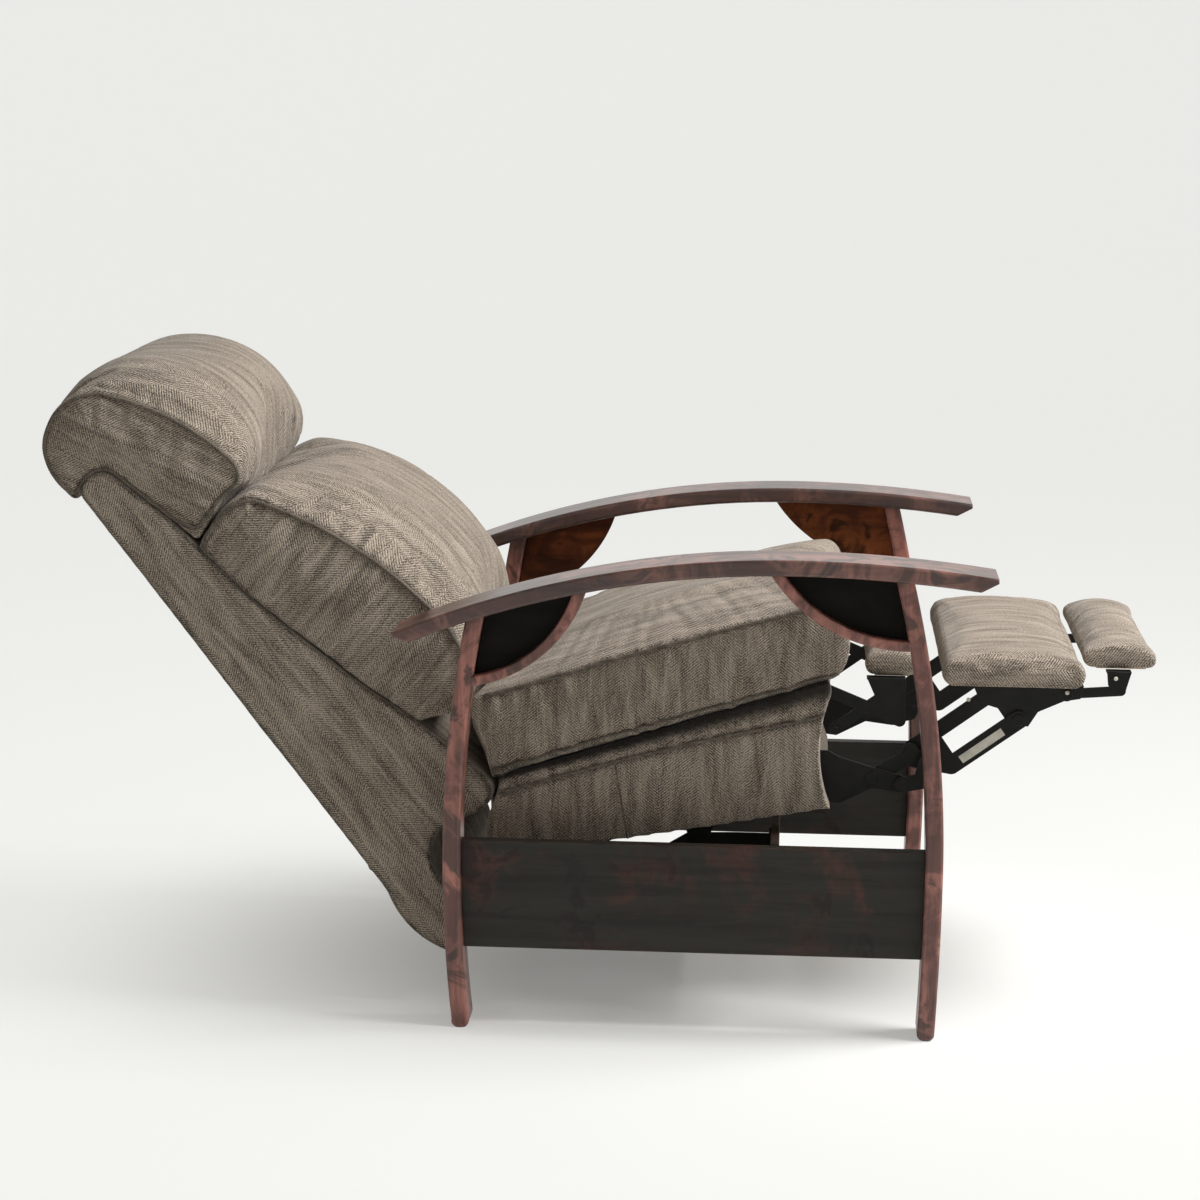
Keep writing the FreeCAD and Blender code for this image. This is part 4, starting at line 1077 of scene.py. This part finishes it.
# The roll's last number, 0.4, is where painted shade begins on the rolled-under cloth.
seat_rolls = ((SEAT_SIDE[:2], SEAT_X, (0.010, 0.012), 0.012, 0.4),)
seat = stuffed("seat_cushion_cover", "seat_cushion", seat_seams, SEAT_SIDE[:2], 0.005, 0.012,
               0.0080, 2.6, 0.0010, seat_rolls, (((-0.302, 0.420), 0.060, (-0.018, 0.0)),
                                                 ((-0.283, 0.333), 0.025, (-0.003, -0.005)),
                                                 ((0.166, 0.584), 0.040, (0.011, 0.006))))
finish_cloth(seat, "seat", "seat_cushion", SEAT_SIDE, math.radians(90))
welts(seat, "seat", SEAT_X, (("seat_top_welt", SEAT_TOP_EDGE, 0.0034),
                             ("seat_low_welt", SEAT_LOW_EDGE, 0.0022)))

# %% [markdown]
# Below the cushion the seat frame is wrapped in the same cloth. Its top edge is rounded over the
# frame, with a seam below it, and an upright seam closes the side panel toward the rear.

# %% Seat box
BOX_SIDE = outline(*metres(
    (-276, 216.5), (182, 300), ((166, 392), (181, 462)), (175, 477), (-283, 330.6),
    (-276, 216.5)))
BOX_SEAM = outline(*metres((-272, 311), ((-82, 368), (172, 430))))
BOX_JOIN = metres((-116, 354), (-107, 305), (-97, 246))
box_seams = side_seams(BOX_SEAM, SIDE_X, False)
# The rolled top edge is darkened with painted shade past 0.22 of its roll, for the gap under the
# cushion.
box = upholstered("seat_box_cloth", "seat_box_cover", box_seams, 5.5,
                  ((BOX_SIDE[12:14], SIDE_X, (0.036, 0.010), 0.012, 0.22),),
                  (((-0.277, 0.258), 0.045, (-0.019, 0.0)),))
finish_cloth(box, "seat", "seat_box_cover", BOX_SIDE, math.radians(90))
welts(box, "seat", SIDE_X, (("seat_box_welt", BOX_SEAM, 0.0024),
                            ("seat_box_join", BOX_JOIN, 0.0012)))

# %% [markdown]
# The footrest has three pads on boards: a wide one, a narrow one that folds under it, and a small
# one that closes the gap to the seat. Each is foam with its cloth stapled under the board.

# %% Footrest pads
PAD_SHOULDER = 0.007
PAD_CROWN = 0.004


def pad_profile(span, bottom, thick):
    """A pad's side shape: flat below, with full rounded ends and a low crown."""
    low, high = span
    middle, top = bottom + thick * 0.5, bottom + thick
    inner_low, inner_high = low + PAD_SHOULDER, high - PAD_SHOULDER
    return outline((inner_low, bottom), (inner_high, bottom), ((high, middle), (inner_high, top)),
                   (((low + high) / 2, top + PAD_CROWN), (inner_low, top)),
                   ((low, middle), (inner_low, bottom)))


PADS = (
    ("footrest_pad", "footrest", (0.330, 0.530), 0.468, 0.046, 3.3, 0.004),
    ("flipper_pad", "flipper", (0.533, 0.634), 0.488, 0.036, 6.4, -0.005),
    ("bridge_pad", "bridge", (0.225, 0.305), 0.470, 0.040, 7.7, 0.0),
)
for node_name, body, span, bottom, thick, seed, spread in PADS:
    profile = pad_profile(span, bottom, thick)
    meeting_edge = (span[1] if spread > 0 else span[0], bottom + thick / 2)
    pad = stuffed(node_name + "_cover", node_name, [], profile[:2], 0.008, 0.004, 0.0, seed,
                  0.0008, pulls=((meeting_edge, 0.03, (spread, 0.0)),))
    finish_cloth(pad, body, node_name, profile, 0.0)

# %% [markdown]
# Under the cushions the seat and the back are sprung with black webbing. Each strap is a thin band
# that is stapled at both ends and sags a little between them.

# %% Webbing straps
BAND_STEPS = 16
CUSHION_SLOPE = (481 - 331) / (186 + 283)
BACK_LOW, BACK_HIGH = Vector((-0.434, 0.164)), Vector((-0.861, 0.7135))


def band(start, end, half_width, thickness, sag):
    """Rings of a sagging band from start to end. The other three are vectors."""
    rings = []
    for k in range(BAND_STEPS + 1):
        share = k / BAND_STEPS
        centre = start.lerp(end, share) + sag * 4 * share * (1 - share)
        rings.append([centre + half_width * a + thickness * b
                      for a, b in ((-1, 0), (1, 0), (1, 1), (-1, 1))])
    return rings


def straps(name, node_name, body, bands):
    bm = bmesh.new()
    for values in bands:
        skin(bm, band(*values))
    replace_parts(small_part(name, bm, body, WEBBING), node_name)


def seat_strap(x):
    low, high = ((s, 0.331 + (s + 0.283) * CUSHION_SLOPE - 0.0104) for s in (-0.252, 0.096))
    return (at(x, low), at(x, high), Vector((0.029, 0, 0)), Vector((0, 0, 0.003)),
            Vector((0, 0, -0.007)))


def back_strap(up):
    along = (BACK_HIGH - BACK_LOW).normalized()
    into = Vector((along.y, -along.x))
    middle = BACK_LOW + along * (up + 0.030) + into * 0.052
    inward = at(0, into) - at(0, (0, 0))
    return (at(-0.273, middle), at(0.273, middle), (at(0, along) - at(0, (0, 0))) * 0.030,
            inward * 0.003, inward * -0.006)


straps("seat_straps", "seat_webbing", "seat", [seat_strap(0.078 * k) for k in range(-2, 3)])
straps("back_straps", "back_webbing", "back", [back_strap(0.102 + 0.125 * k) for k in range(4)])

# %% [markdown]
# The links carry pale rivet heads, and the long link has a label, left blank here. Both are too
# small for the CAD model to need them, so they are pieces of their own on the links.

# %% Rivets and label strip
RIVETS = (("footrest", -0.2196, (0.371, 0.446)), ("footrest", -0.2196, (0.507, 0.459)),
          ("flipper", -0.2116, (0.574, 0.479)))
RIVET_RINGS = ((0.0030, 0), (0.0026, 0.0007), (0.0014, 0.0011))
RIVET_SIDES = 12
LABEL_X = -0.2205
LABEL_THICK = 0.0004
LABEL_HALF_WIDTH = 0.0058
LABEL_ENDS = (Vector((0.363, 0.360)), Vector((0.420, 0.402)))


def rivet(number, body, x, place):
    """A low domed head on the outer face of a steel plate."""
    bm = bmesh.new()
    circle = [(math.cos(math.tau * k / RIVET_SIDES), math.sin(math.tau * k / RIVET_SIDES))
              for k in range(RIVET_SIDES)]
    skin(bm, [[at(x - rise, (place[0] + radius * u, place[1] + radius * v)) for u, v in circle]
              for radius, rise in RIVET_RINGS])
    small_part(f"link_rivet_{number}", bm, body, LABEL)


def label_strip():
    """A thin pale sticker on the outside of the right long link."""
    bm = bmesh.new()
    start, end = LABEL_ENDS
    along = (end - start).normalized()
    over = Vector((-along.y, along.x)) * LABEL_HALF_WIDTH
    corners = (start - over, end - over, end + over, start + over)
    skin(bm, [[at(LABEL_X - depth, corner) for corner in corners] for depth in (0, LABEL_THICK)])
    small_part("blank_label_strip", bm, "long_links", LABEL)


label_strip()
for number, (body, x, place) in enumerate(RIVETS, 1):
    rivet(number, body, x, place)
